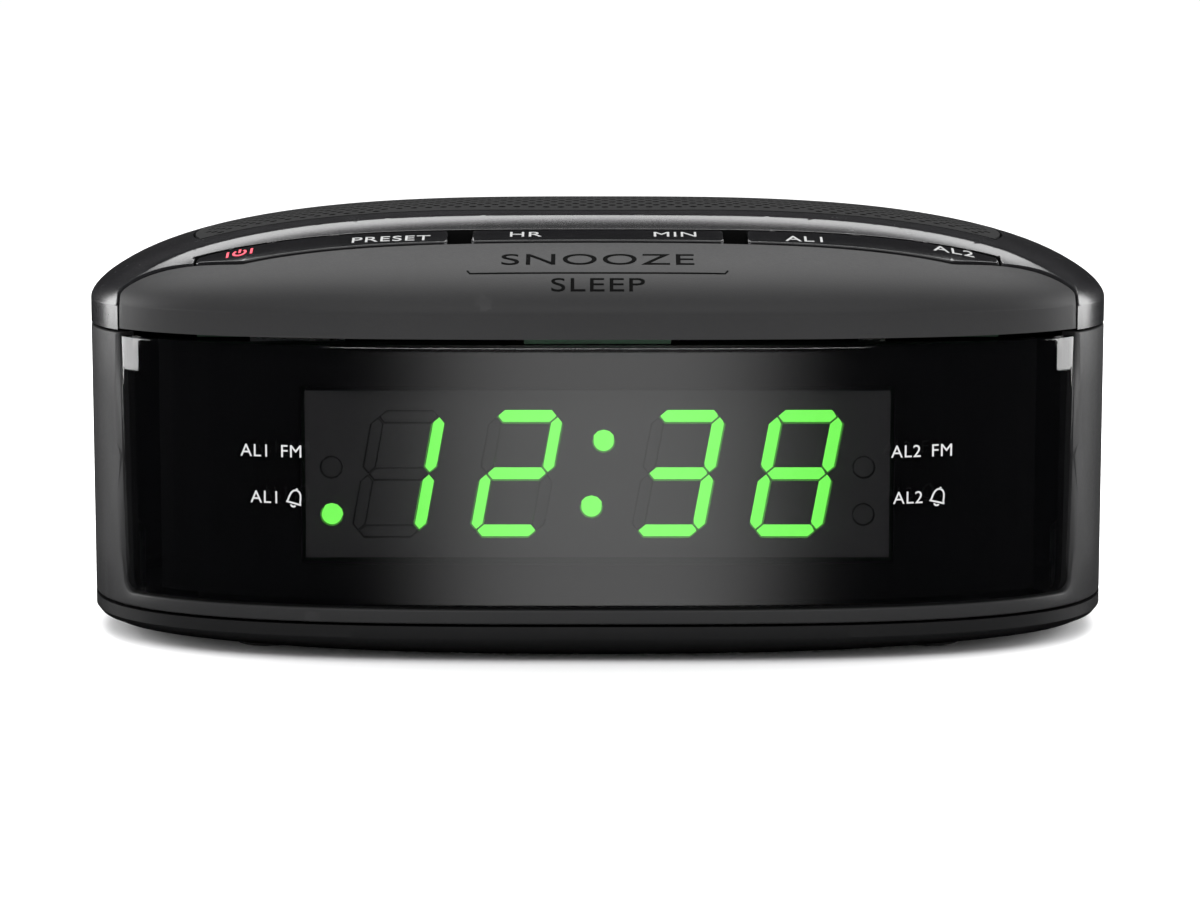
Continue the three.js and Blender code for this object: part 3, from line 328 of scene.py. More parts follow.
def skin_normals(mesh, skin):
    """Normals of a mesh's corners: the skin's own where a face lies wholly in it, and none elsewhere."""
    keys = [rounded_key(v.co) for v in mesh.vertices]
    normals = [(0.0, 0.0, 0.0)] * len(mesh.loops)
    for polygon in mesh.polygons:
        corners = [keys[i] for i in polygon.vertices]
        if len(corners) != 3 or not all(key in skin for key in corners):
            continue
        for loop, key in zip(polygon.loop_indices, corners):
            if Vector(skin[key]).dot(polygon.normal) > 0.2:
                normals[loop] = skin[key]
    return normals


def height_skin(flat, height, drops, slopes, outward):
    """Exact normals of a height over the plan, keyed by place, with its eased edges leaning outwards."""
    skin = {}
    step = 4e-6
    for (x, y), slope, way in zip(flat, slopes, outward):
        lean_x = (height(x + step, y) - height(x - step, y)) / (2 * step) - slope * way[0]
        lean_y = (height(x, y + step) - height(x, y - step)) / (2 * step) - slope * way[1]
        normal = Vector((-lean_x, -lean_y, 1)).normalized()
        place_key = rounded_key(np.float32((x, y, height(x, y) - drops.get((x, y), 0.0))).tolist())
        skin[place_key] = tuple(normal)
    return skin


def slab(flat, triangles, upper, lower, open_edge=None):
    """Closed mesh over a flat set of triangles: an upper and a lower skin, and walls round the edges."""
    count = len(flat)
    positions = [upper(*p) for p in flat] + [lower(*p) for p in flat]
    faces = []
    edges = {}
    for a, b, c in triangles:
        faces.append((a, b, c))
        faces.append((a + count, c + count, b + count))
        for edge in ((a, b), (b, c), (c, a)):
            edges[edge] = True
    for a, b in edges:
        if (b, a) in edges or (open_edge and open_edge(flat[a], flat[b])):
            continue
        faces.append((a + count, b + count, b, a))
    return positions, faces


ON_EDGE = 2e-6


def nearest_edges(points, loops):
    """Distance of each flat point to the nearest edge of any loop, and the way to that edge."""
    points = np.asarray(points, float).reshape(-1, 2)
    nearest = np.full(len(points), 1e9)
    outward = np.zeros((len(points), 2))
    for order, loop in enumerate(loops):
        start = np.asarray(loop, float)
        step = np.roll(start, -1, axis=0) - start
        squared = np.maximum((step**2).sum(1), 1e-18)
        turn = np.sign((start[:, 0] * np.roll(start[:, 1], -1) - np.roll(start[:, 0], -1) * start[:, 1]).sum())
        side = np.stack([step[:, 1], -step[:, 0]], 1) / np.sqrt(squared)[:, None] * turn
        side = side if order == 0 else -side
        for k in range(0, len(points), 2000):
            offset = points[k : k + 2000, None, :] - start[None]
            along = np.clip((offset * step).sum(2) / squared, 0, 1)
            gap = offset - along[..., None] * step
            reach = np.sqrt((gap**2).sum(2))
            best = reach.argmin(1)
            rows = np.arange(len(best))
            closest = reach[rows, best]
            straight = -gap[rows, best] / np.maximum(closest, 1e-12)[:, None]
            way = np.where((closest > ON_EDGE)[:, None], straight, side[best])
            touching = reach < ON_EDGE
            corner = touching.sum(1) > 1
            way[corner] = (touching[corner, :, None] * side[None]).sum(1)
            better = closest < nearest[k : k + 2000]
            nearest[k : k + 2000][better] = closest[better]
            outward[k : k + 2000][better] = way[better]
    return nearest, outward / np.maximum(np.hypot(*outward.T), 1e-12)[:, None]


def distances(points, loops):
    """Distance of each flat point to the nearest edge of any loop."""
    return nearest_edges(points, loops)[0]


def inside(points, loop):
    """Which flat points lie inside a loop."""
    points = np.asarray(points, float).reshape(-1, 2)
    start = np.asarray(loop, float)
    end = np.roll(start, -1, axis=0)
    result = np.zeros(len(points), bool)
    for (x0, y0), (x1, y1) in zip(start, end):
        if y0 == y1:
            continue
        crosses = (points[:, 1] < y0) != (points[:, 1] < y1)
        meets = x0 + (points[:, 1] - y0) * (x1 - x0) / (y1 - y0)
        result ^= crosses & (points[:, 0] < meets)
    return result


def offset_points(loop, offsets):
    """Points that follow a loop at set distances on both sides of it."""
    start = np.asarray(loop, float)
    step = np.roll(start, -1, axis=0) - start
    side = np.stack([-step[:, 1], step[:, 0]], 1) / np.maximum(np.hypot(*step.T), 1e-12)[:, None]
    places = [start + step * share for share in (0, 0.5)]
    rows = [place + side * offset * sign for place in places for offset in offsets for sign in (1, -1)]
    return [tuple(p) for p in np.concatenate(rows)]


EASE_ROWS = (0.1, 0.3, 0.6, 1.0)


def triangulated(outline, holes, inner, ease):
    """Triangles of a flat region with holes, with rows of points along its edges where they are eased."""
    loops = [outline, *holes]
    rows = [p for loop in loops for p in offset_points(loop, [ease * r for r in EASE_ROWS])] if ease else []
    keep = []
    if rows:
        keep = [p for p, d in zip(rows, distances(rows, loops)) if d > 0.09 * ease]
    clear = max(ease * 1.2, 0.12 * MM)
    inner = list(inner)
    if inner:
        inner = [p for p, d in zip(inner, distances(inner, loops)) if d > clear]
    points = [p for loop in loops for p in loop] + keep + inner
    starts = np.cumsum([0] + [len(loop) for loop in loops])
    regions = [list(range(a, b)) for a, b in zip(starts, starts[1:])]
    flat = [Vector((p[0] / MM, p[1] / MM)) for p in points]
    found, _, triangles, _, _, origins = delaunay_2d_cdt(flat, [], regions, 1, 1e-5)
    kept = [t for t, o in zip(triangles, origins) if o == [0]]
    return [(p.x * MM, p.y * MM) for p in found], kept


def eased_drop(distance, radius):
    """How far a rounded edge has dropped at a distance from it."""
    if radius <= 0 or distance >= radius:
        return 0.0
    return radius - math.sqrt(max(0.0, radius**2 - (radius - distance) ** 2))


def eased_slope(distance, radius):
    """How steep a rounded edge is at a distance from it."""
    if radius <= 0 or distance >= radius:
        return 0.0
    left = radius - distance
    return min(8.0, left / math.sqrt(max(1e-18, radius**2 - left**2)))


def cap(outline, holes, inner, upper, lower, ease=0.0, skin=None):
    """Closed mesh over a plan region, between two heights, with its upper edges rounded.
    The exact normals of its upper skin are added to a skin that is handed in."""
    flat, triangles = triangulated(outline, holes, inner, ease)
    drops = {}
    slopes, outward = [0.0] * len(flat), [(0.0, 0.0)] * len(flat)
    if ease:
        gaps, outward = nearest_edges(flat, [outline, *holes])
        drops = {p: eased_drop(d, ease) for p, d in zip(flat, gaps)}
        slopes = [eased_slope(d, ease) for d in gaps]
    if skin is not None:
        skin.update(height_skin(flat, upper, drops, slopes, outward))
    return slab(
        flat,
        triangles,
        lambda x, y: (x, y, upper(x, y) - drops.get((x, y), 0.0)),
        lambda x, y: (x, y, lower(x, y)),
    )


def joined(*parts):
    """Several meshes as one."""
    positions, faces = [], []
    for part_positions, part_faces in parts:
        start = len(positions)
        positions.extend(part_positions)
        faces.extend(tuple(i + start for i in face) for face in part_faces)
    return positions, faces


def turned(profile, middle, axis="Z", sides=56):
    """Closed ring or disc turned from a profile of (radius, height), up its outside and down its bore."""
    positions, faces, rings = [], [], []
    for radius, height in profile:
        ring = []
        for i in range(1 if radius == 0 else sides):
            turn = 2 * math.pi * i / sides
            x, y = radius * math.cos(turn), radius * math.sin(turn)
            point = (x, y, height) if axis == "Z" else (x, height, y)
            ring.append(len(positions))
            positions.append(tuple(a + b for a, b in zip(point, middle)))
        rings.append(ring)
    for low, high in zip(rings, rings[1:] + rings[:1]):
        if len(low) == 1 and len(high) == 1:
            continue
        for i in range(sides):
            k = (i + 1) % sides
            corners = [low[i % len(low)], low[k % len(low)], high[k % len(high)], high[i % len(high)]]
            faces.append(tuple(dict.fromkeys(corners)))
    return positions, faces


def block(low, high):
    """Closed block between two corners."""
    flat = [(low[0], low[1]), (high[0], low[1]), (high[0], high[1]), (low[0], high[1])]
    return slab(flat, [(0, 1, 2), (0, 2, 3)], lambda x, y: (x, y, high[2]), lambda x, y: (x, y, low[2]))


def circle(x, y, radius, sides=32, start=0.0):
    """Loop of points round a circle."""
    turns = [start + 2 * math.pi * i / sides for i in range(sides)]
    return [(x + radius * math.cos(t), y + radius * math.sin(t)) for t in turns]


def rounded_box(x0, x1, y0, y1, radius, steps=6):
    """Loop of points round a rectangle with rounded corners."""
    left, right = x0 + radius, x1 - radius
    front, back = y0 + radius, y1 - radius
    corners = [(right, back), (left, back), (left, front), (right, front)]
    loop = []
    for quarter, (x, y) in enumerate(corners):
        for i in range(steps + 1):
            turn = (quarter + i / steps) * math.pi / 2
            loop.append((x + radius * math.cos(turn), y + radius * math.sin(turn)))
    return loop


def curve_points(y_of, x0, x1, step):
    """Points of an edge y(x) from x0 to x1, about a step apart."""
    count = max(1, round(abs(x1 - x0) / step))
    return [(x, y_of(x)) for x in np.linspace(x0, x1, count + 1)]


RIM_SHARES = (0.9985, 0.995, 0.99, 0.983, 0.974, 0.963, 0.95, 0.934, 0.915, 0.893, 0.87, 0.84, 0.81, 0.77, 0.73)


def dome_rows(step=1.6 * MM):
    """Plan points that follow the dome's shape: close rows by the rim, and wider ones over the middle."""
    rows = []
    for share in RIM_SHARES + tuple(np.arange(0.69, 0.03, -0.045)):
        angles = even_angles(0, 2 * math.pi, step / max(share, 0.25))[:-1]
        rows.extend(plan_point(angle, 0, share) for angle in angles)
    return rows


def within(points, loop, holes=()):
    """The points that lie inside a loop and outside its holes."""
    mask = inside(points, loop)
    for hole in holes:
        mask &= ~inside(points, hole)
    return [p for p, keep in zip(points, mask) if keep]


# ---- lettering ----
def letters(text, size, stretch=1.0):
    """Flat points and triangles of a line of text, centred on the origin, its letters a size high."""
    curve = bpy.data.curves.new("lettering", "FONT")
    curve.body = text
    curve.align_x = "CENTER"
    curve.size = 1.0
    curve.space_character = 1.08
    curve.resolution_u = 6
    carrier = bpy.data.objects.new("lettering", curve)
    bpy.context.scene.collection.objects.link(carrier)
    bpy.context.view_layer.update()
    mesh = bpy.data.meshes.new_from_object(carrier.evaluated_get(bpy.context.evaluated_depsgraph_get()))
    work = bmesh.new()
    work.from_mesh(mesh)
    bmesh.ops.triangulate(work, faces=work.faces)
    bmesh.ops.remove_doubles(work, verts=work.verts, dist=1e-5)
    heights = [v.co.y for v in work.verts]
    low, high = min(heights), max(heights)
    scale = size / (high - low)
    work.verts.index_update()
    flat = [(v.co.x * scale * stretch, (v.co.y - (low + high) / 2) * scale) for v in work.verts]
    triangles = []
    for face in work.faces:
        a, b, c = (v.index for v in face.verts)
        (ax, ay), (bx, by), (cx, cy) = flat[a], flat[b], flat[c]
        turn = (bx - ax) * (cy - ay) - (by - ay) * (cx - ax)
        if turn:
            triangles.append((a, b, c) if turn > 0 else (a, c, b))
    work.free()
    bpy.data.objects.remove(carrier)
    bpy.data.meshes.remove(mesh)
    bpy.data.curves.remove(curve)
    return flat, triangles


def stroke(points, width, closed=False):
    """Flat outline of a line of even width through points, as points and triangles."""
    path = [Vector(p) for p in points]
    count = len(path)
    flat, triangles = [], []
    for i, here in enumerate(path):
        before = path[i - 1] if closed or i else here
        after = path[(i + 1) % count] if closed or i + 1 < count else here
        along = (after - before).normalized()
        side = Vector((-along.y, along.x)) * width / 2
        flat += [tuple(here + side), tuple(here - side)]
    for i in range(count if closed else count - 1):
        a, b = 2 * i, 2 * ((i + 1) % count)
        triangles += [(a, a + 1, b + 1), (a, b + 1, b)]
    return flat, triangles


def moved(shape, x, y, turn=0.0):
    """A flat shape turned and moved."""
    flat, triangles = shape
    c, s = math.cos(turn), math.sin(turn)
    return [(x + c * u - s * v, y + s * u + c * v) for u, v in flat], triangles


def split(shape):
    """The same flat shape with each triangle cut in four, so that it follows a curved surface."""
    flat, triangles = list(shape[0]), []
    middles = {}

    def middle(a, b):
        key = (min(a, b), max(a, b))
        if key not in middles:
            middles[key] = len(flat)
            flat.append(((flat[a][0] + flat[b][0]) / 2, (flat[a][1] + flat[b][1]) / 2))
        return middles[key]

    for a, b, c in shape[1]:
        ab, bc, ca = middle(a, b), middle(b, c), middle(c, a)
        triangles += [(a, ab, ca), (ab, b, bc), (ca, bc, c), (ab, bc, ca)]
    return flat, triangles


PRINT_HEIGHT = 0.035 * MM
PRINT_DEPTH = 0.08 * MM


def printed(name, shapes, surface, body, slot, material):
    """Thin raised print on a surface(u, v, rise)."""
    parts = []
    for shape in shapes:
        flat, triangles = split(shape)
        parts.append(slab(
            flat,
            triangles,
            lambda u, v: surface(u, v, PRINT_HEIGHT),
            lambda u, v: surface(u, v, -PRINT_DEPTH),
        ))
    return finish_mesh(name, *joined(*parts), body, slot, materials=[material])


def on_dome(u, v, rise):
    return (u, v, dome_height(u, v) + rise)


def on_lens(u, v, rise):
    return (u, front_y(u) - rise, v)


# ---- finishes ----
class Wire:
    """A socket of a material that Python's operators turn into Math nodes."""

    def __init__(self, finish, socket):
        self.finish = finish
        self.socket = socket

    def math(self, operation, first, second=0.0):
        return self.finish.node("ShaderNodeMath", {"operation": operation}, {0: first, 1: second})

    def __add__(self, other):
        return self.math("ADD", self, other)

    __radd__ = __add__

    def __sub__(self, other):
        return self.math("SUBTRACT", self, other)

    def __rsub__(self, other):
        return self.math("SUBTRACT", other, self)

    def __mul__(self, other):
        return self.math("MULTIPLY", self, other)

    __rmul__ = __mul__

    def __truediv__(self, other):
        return self.math("DIVIDE", self, other)

    def __pow__(self, other):
        return self.math("POWER", self, other)

    def clamped(self):
        return self.math("MINIMUM", self.math("MAXIMUM", self, 0.0), 1.0)


class Finish:
    """A material being made, with one way to add a node."""

    def __init__(self, name):
        self.material = bpy.data.materials.new(name)
        self.material.use_nodes = True
        self.tree = self.material.node_tree
        self.tree.nodes.clear()

    def node(self, kind, settings=None, inputs=None, output=0):
        """Adds a node, sets it up, fills its sockets, and gives back one of its outputs."""
        node = self.tree.nodes.new(kind)
        for key, value in (settings or {}).items():
            if key == "stops":
                ramp = node.color_ramp
                ramp.elements[0].position, ramp.elements[0].color = value[0]
                ramp.elements[1].position, ramp.elements[1].color = value[-1]
                for position, shade in value[1:-1]:
                    ramp.elements.new(position).color = shade
            else:
                setattr(node, key, value)
        for key, value in (inputs or {}).items():
            if isinstance(value, Wire):
                self.tree.links.new(value.socket, node.inputs[key])
            else:
                node.inputs[key].default_value = value
        return Wire(self, node.outputs[output] if node.outputs else None)

    def spot(self):
        return self.node("ShaderNodeTexCoord", output="Object")

    def noise(self, scale, detail=3.0, roughness=0.5):
        return self.node(
            "ShaderNodeTexNoise",
            inputs={"Vector": self.spot(), "Scale": scale, "Detail": detail, "Roughness": roughness},
        )

    def mix(self, factor, first, second):
        """Blend of two colours."""
        return self.node("ShaderNodeMix", {"data_type": "RGBA"}, {0: factor, 6: first, 7: second}, output=2)

    def bump(self, height, strength, distance):
        return self.node(
            "ShaderNodeBump", inputs={"Height": height, "Strength": strength, "Distance": distance}
        )

    def edges(self, low=0.5, high=0.56):
        """1 along worn outer edges, 0 elsewhere."""
        pointed = self.node("ShaderNodeNewGeometry", output="Pointiness")
        return ((pointed - low) / (high - low)).clamped()

    def shader(self, inputs):
        """The surface shader, and the end of the material."""
        surface = self.node("ShaderNodeBsdfPrincipled", inputs=inputs)
        self.node("ShaderNodeOutputMaterial", inputs={"Surface": surface})
        return self.material


def rgba(shade, scale=1.0):
    return (*[min(1.0, c * scale) for c in shade], 1.0)


def moulded(name, shade, roughness, grain=5200, depth=0.35, wear=0.5, specular=0.4, coat=0.0):
    """Spark-eroded moulded plastic: fine grain, faint cloudiness, and edges rubbed a little smoother."""
    finish = Finish(name)
    fine = finish.noise(grain, 2.0, 0.6)
    cloud = finish.noise(55, 4.0, 0.55)
    speck = finish.noise(2300, 1.0)
    worn = finish.edges() * wear
    tone = ((cloud - 0.5) * 0.5 + (speck - 0.5) * 0.35 + 0.5).clamped()
    base = finish.mix(tone, rgba(shade, 0.82), rgba(shade, 1.2))
    tint = finish.mix(worn, base, rgba([c + 0.006 for c in shade], 1.2))
    rough = (roughness + (speck - 0.5) * 0.12 + (cloud - 0.5) * 0.08 - worn * 0.12).clamped()
    normal = finish.bump(fine, depth, 0.06 * MM)
    return finish.shader({
        "Base Color": tint,
        "Roughness": rough,
        "Normal": normal,
        "Specular IOR Level": specular,
        "Coat Weight": coat,
        "Coat Roughness": 0.08,
    })


def polished(name, shade, roughness, waviness=0.06, wear=0.25, specular=0.5):
    """Gloss moulded plastic: almost flat, with a faint waviness, fine hairlines and dusty patches."""
    finish = Finish(name)
    wave = finish.noise(38, 2.0)
    hair = finish.node(
        "ShaderNodeTexNoise",
        inputs={
            "Vector": finish.node(
                "ShaderNodeMapping",
                inputs={"Vector": finish.spot(), "Scale": (260.0, 3200.0, 3200.0)},
            ),
            "Scale": 1.0,
            "Detail": 2.0,
        },
    )
    dust = finish.noise(420, 3.0, 0.65)
    worn = finish.edges() * wear
    base = finish.mix(dust, rgba(shade, 0.85), rgba(shade, 1.2))
    tint = finish.mix(worn, base, rgba([c + 0.02 for c in shade]))
    rough = (roughness + (dust - 0.5) * 0.05 + (hair - 0.5) * 0.03).clamped()
    normal = finish.bump(wave * 0.7 + hair * 0.3, waviness, 0.05 * MM)
    return finish.shader({
        "Base Color": tint,
        "Roughness": rough,
        "Normal": normal,
        "Specular IOR Level": specular,
    })


def smoked_lens(name, shade):
    """Clear smoked plastic: dark, glossy, and letting the display's light through."""
    finish = Finish(name)
    dust = finish.noise(700, 3.0, 0.6)
    wave = finish.noise(24, 1.0)
    return finish.shader({
        "Base Color": finish.mix(dust, rgba(shade, 0.8), rgba(shade, 1.3)),
        "Roughness": (0.035 + (dust - 0.5) * 0.02).clamped(),
        "Normal": finish.bump(wave, 0.02, 0.05 * MM),
        "Alpha": 0.56,
        "IOR": 1.75,
    })


def lamp(name, shade, glow):
    """Lit light pipe of the display: clear resin that glows evenly."""
    finish = Finish(name)
    cloud = finish.noise(900, 2.0)
    tone = (cloud * 0.35 + 0.65).clamped()
    dark = (0.10, 0.11, 0.10)
    body = finish.mix(tone, rgba(dark, 0.8), rgba(dark, 1.1))
    return finish.shader({
        "Base Color": body,
        "Roughness": (0.4 + (cloud - 0.5) * 0.1).clamped(),
        "Emission Color": finish.mix(tone, rgba(shade, 0.7), rgba(shade, 1.0)),
        "Emission Strength": glow,
    })


def display_face(name, shade):
    """Matte face of the display, finely frosted."""
    finish = Finish(name)
    frost = finish.noise(3000, 2.0)
    cloud = finish.noise(90, 2.0)
    tone = (frost * 0.4 + cloud * 0.6).clamped()
    return finish.shader({
        "Base Color": finish.mix(tone, rgba(shade, 0.92), rgba(shade, 1.08)),
        "Roughness": (0.7 + (frost - 0.5) * 0.1).clamped(),
        "Normal": finish.bump(frost, 0.2, 0.04 * MM),
    })


def ink(name, shade, roughness=0.5, specular=0.5):
    """Printed ink, slightly uneven."""
    finish = Finish(name)
    patch = finish.noise(4200, 2.0)
    return finish.shader({
        "Base Color": finish.mix(patch, rgba(shade, 0.85), rgba(shade, 1.1)),
        "Roughness": (roughness + (patch - 0.5) * 0.15).clamped(),
        "Normal": finish.bump(patch, 0.1, 0.02 * MM),
        "Specular IOR Level": specular,
    })


def metal(name, shade, roughness, brushed=300.0):
    """Plated or drawn metal with fine lines and dull patches."""
    finish = Finish(name)
    lines = finish.node(
        "ShaderNodeTexNoise",
        inputs={
            "Vector": finish.node(
                "ShaderNodeMapping",
                inputs={"Vector": finish.spot(), "Scale": (brushed, 4000.0, brushed)},
            ),
            "Scale": 1.0,
            "Detail": 3.0,
        },
    )
    patch = finish.noise(160, 4.0)
    return finish.shader({
        "Base Color": finish.mix(patch, rgba(shade, 0.75), rgba(shade, 1.1)),
        "Metallic": (1 - patch * 0.2).clamped(),
        "Roughness": (roughness + (lines - 0.5) * 0.2 + (patch - 0.5) * 0.15).clamped(),
        "Normal": finish.bump(lines, 0.15, 0.03 * MM),
    })


def fibre(name, shade, roughness=0.85, weave=1400):
    """Fibrous or pressed sheet such as paper pulp, laminate board or a woven sleeve."""
    finish = Finish(name)
    threads = finish.node("ShaderNodeTexWave", {"wave_type": "BANDS", "bands_direction": "DIAGONAL"}, {
        "Vector": finish.spot(), "Scale": weave, "Distortion": 3.0, "Detail": 2.0,
    }, output="Fac")
    pulp = finish.noise(900, 4.0, 0.6)
    tone = (threads * 0.3 + pulp * 0.7).clamped()
    return finish.shader({
        "Base Color": finish.mix(tone, rgba(shade, 0.8), rgba(shade, 1.2)),
        "Roughness": (roughness + (pulp - 0.5) * 0.15).clamped(),
        "Normal": finish.bump(tone, 0.25, 0.05 * MM),
    })


FINISH_MAKERS = {
    "housing_matte": lambda: moulded("housing_matte", finishes().housing, 0.46, depth=0.3, specular=0.16),
    "base_matte": lambda: moulded("base_matte", finishes().base, 0.5, depth=0.35, specular=0.12),
    "bezel_gloss": lambda: polished("bezel_gloss", finishes().bezel, 0.26),
    "key_gloss": lambda: polished("key_gloss", finishes().keys, 0.1, waviness=0.02, specular=0.3),
    "snooze_matte": lambda: moulded("snooze_matte", finishes().snooze, 0.5, depth=0.22, specular=0.12),
    "grille_matte": lambda: moulded("grille_matte", finishes().grille, 0.8, depth=0.3, specular=0.1),
    "lens_smoked": lambda: smoked_lens("lens_smoked", finishes().lens),
    "lamp_green": lambda: lamp("lamp_lit", finishes().lamp, bpy.context.scene.clock_display.glow),
    "lamp_unlit": lambda: display_face("lamp_unlit", finishes().face),
    "display_black": lambda: display_face("display_face", finishes().face),
    "rubber_black": lambda: moulded(
        "rubber_black", (0.014, 0.014, 0.014), 0.72, grain=2600, wear=0.2, specular=0.25
    ),
    "board_green": lambda: fibre("board_green", (0.012, 0.075, 0.03), 0.4, 2600),
    "steel_plated": lambda: metal("steel_plated", (0.62, 0.62, 0.60), 0.3),
    "copper_wire": lambda: metal("copper_wire", (0.72, 0.30, 0.14), 0.35, 4000.0),
    "paper_cone": lambda: fibre("paper_cone", (0.028, 0.026, 0.025), 0.9),
    "ferrite_dark": lambda: moulded("ferrite_dark", (0.03, 0.03, 0.032), 0.55, grain=1800),
    "flex_grey": lambda: fibre("flex_grey", (0.30, 0.31, 0.32), 0.6, 900),
    "sleeve_blue": lambda: moulded("sleeve_blue", (0.02, 0.05, 0.20), 0.35, grain=900),
    "chip_black": lambda: moulded("chip_black", (0.012, 0.012, 0.013), 0.5, grain=3000),
    "legend_print": lambda: ink("legend_print", finishes().legend),
    "key_legend": lambda: ink("key_legend", finishes().key_legend),
    # Near-black matte that barely reflects: painted shade for the key tray and the gap walls behind the keys
    "tray_painted_shade": lambda: moulded("tray_painted_shade", (0.002, 0.002, 0.002), 0.8, wear=0.0, specular=0.05),
    "legend_power": lambda: ink("legend_power", finishes().power_legend),
    "legend_engraved": lambda: ink("legend_engraved", finishes().engraving, 0.85, 0.03),
}
MADE = {}


def material(slot):
    """The finish of a slot, made once."""
    if slot not in MADE:
        MADE[slot] = FINISH_MAKERS[slot]()
    return MADE[slot]


# ---- operators: one for each piece or group of like pieces ----
class CLOCK_OT_frame_finishes(bpy.types.Operator):
    """Give every carried-over CAD node the finish of its slot"""

    bl_idname = "clock.frame_finishes"
    bl_label = "Frame finishes"

    def execute(self, context):
        slots = {part["node"]: part["material_slot"] for part in frame["record"]["subparts"]}
        for name, node in frame["nodes"].items():
            chosen = material(slots[name])
            node.data.materials.clear()
            node.data.materials.append(chosen)
        return {"FINISHED"}


class CLOCK_OT_housing(bpy.types.Operator):
    """Upright wall of the cabinet, open at the front for the lens"""

    bl_idname = "clock.housing"
    bl_label = "Housing"

    def execute(self, context):
        sizes = cabinet()
        low, high = HOUSING_LOW.z, HOUSING_HIGH.z
        angles = even_angles(math.pi / 2 - 2 * math.pi, math.pi / 2, 0.9 * MM)
        points = np.array([plan_point(a) for a in angles])
        run = np.concatenate([[0], np.cumsum(np.hypot(*np.diff(points, axis=0).T))])
        whole = run[-1]

        def angle_at(u):
            return float(np.interp(u, run, angles))

        def run_at(x):
            return float(np.interp(front_angle(x), angles, run))

        half = LENS_HIGH.x + GAP
        sill = LENS_LOW.z - GAP
        lean = 0.6 * MM
        corner = 1.8 * MM
        left, right = run_at(-half), run_at(half)
        opening = []
        for i in range(9):
            turn = math.pi + i / 8 * math.pi / 2
            opening.append((
                left + lean + corner + corner * math.cos(turn), sill + corner + corner * math.sin(turn)
            ))
        opening += [(u, sill) for u in np.linspace(left + lean + corner, right - lean - corner, 130)[1:-1]]
        for i in range(9):
            turn = 1.5 * math.pi + i / 8 * math.pi / 2
            opening.append((
                right - lean - corner + corner * math.cos(turn), sill + corner + corner * math.sin(turn)
            ))
        levels = np.linspace(low, high, 9)
        outline = [(0, low)] + [(u, low) for u in run[1:-1]] + [(whole, z) for z in levels]
        outline += [(u, high) for u in run[::-1] if whole > u > right]
        outline += [(right, high)] + opening[::-1] + [(left, high)]
        outline += [(u, high) for u in run[::-1] if 0 < u < left] + [(0, z) for z in levels[:0:-1]]
        rows = [(u, z) for u in run[1:-1] for z in np.linspace(low, high, 6)[1:-1]]
        rows = within(rows, outline)
        ease = 0.3 * MM
        flat, triangles = triangulated(outline, [], rows, ease)
        drops = {}
        for p, d in zip(flat, distances(flat, [outline])):
            near_seam = min(p[0], whole - p[0]) < ease * 1.5
            level = min(p[1] - low, high - p[1])
            drops[p] = eased_drop(level if near_seam else d, ease)

        def skin(u, z, inset):
            x, y = plan_point(angle_at(u), inset)
            return (x, y, z)

        mesh = slab(
            flat,
            triangles,
            lambda u, z: skin(u, z, drops[(u, z)]),
            lambda u, z: skin(u, z, sizes.wall),
            open_edge=lambda a, b: abs(a[0] - b[0]) < 1e-7 and (a[0] < 1e-6 or a[0] > whole - 1e-6),
        )
        finish_mesh(
            "housing", *mesh, "cabinet", "housing_matte", ["housing_shell"],
            materials=[material("housing_matte")],
        )
        return {"FINISHED"}


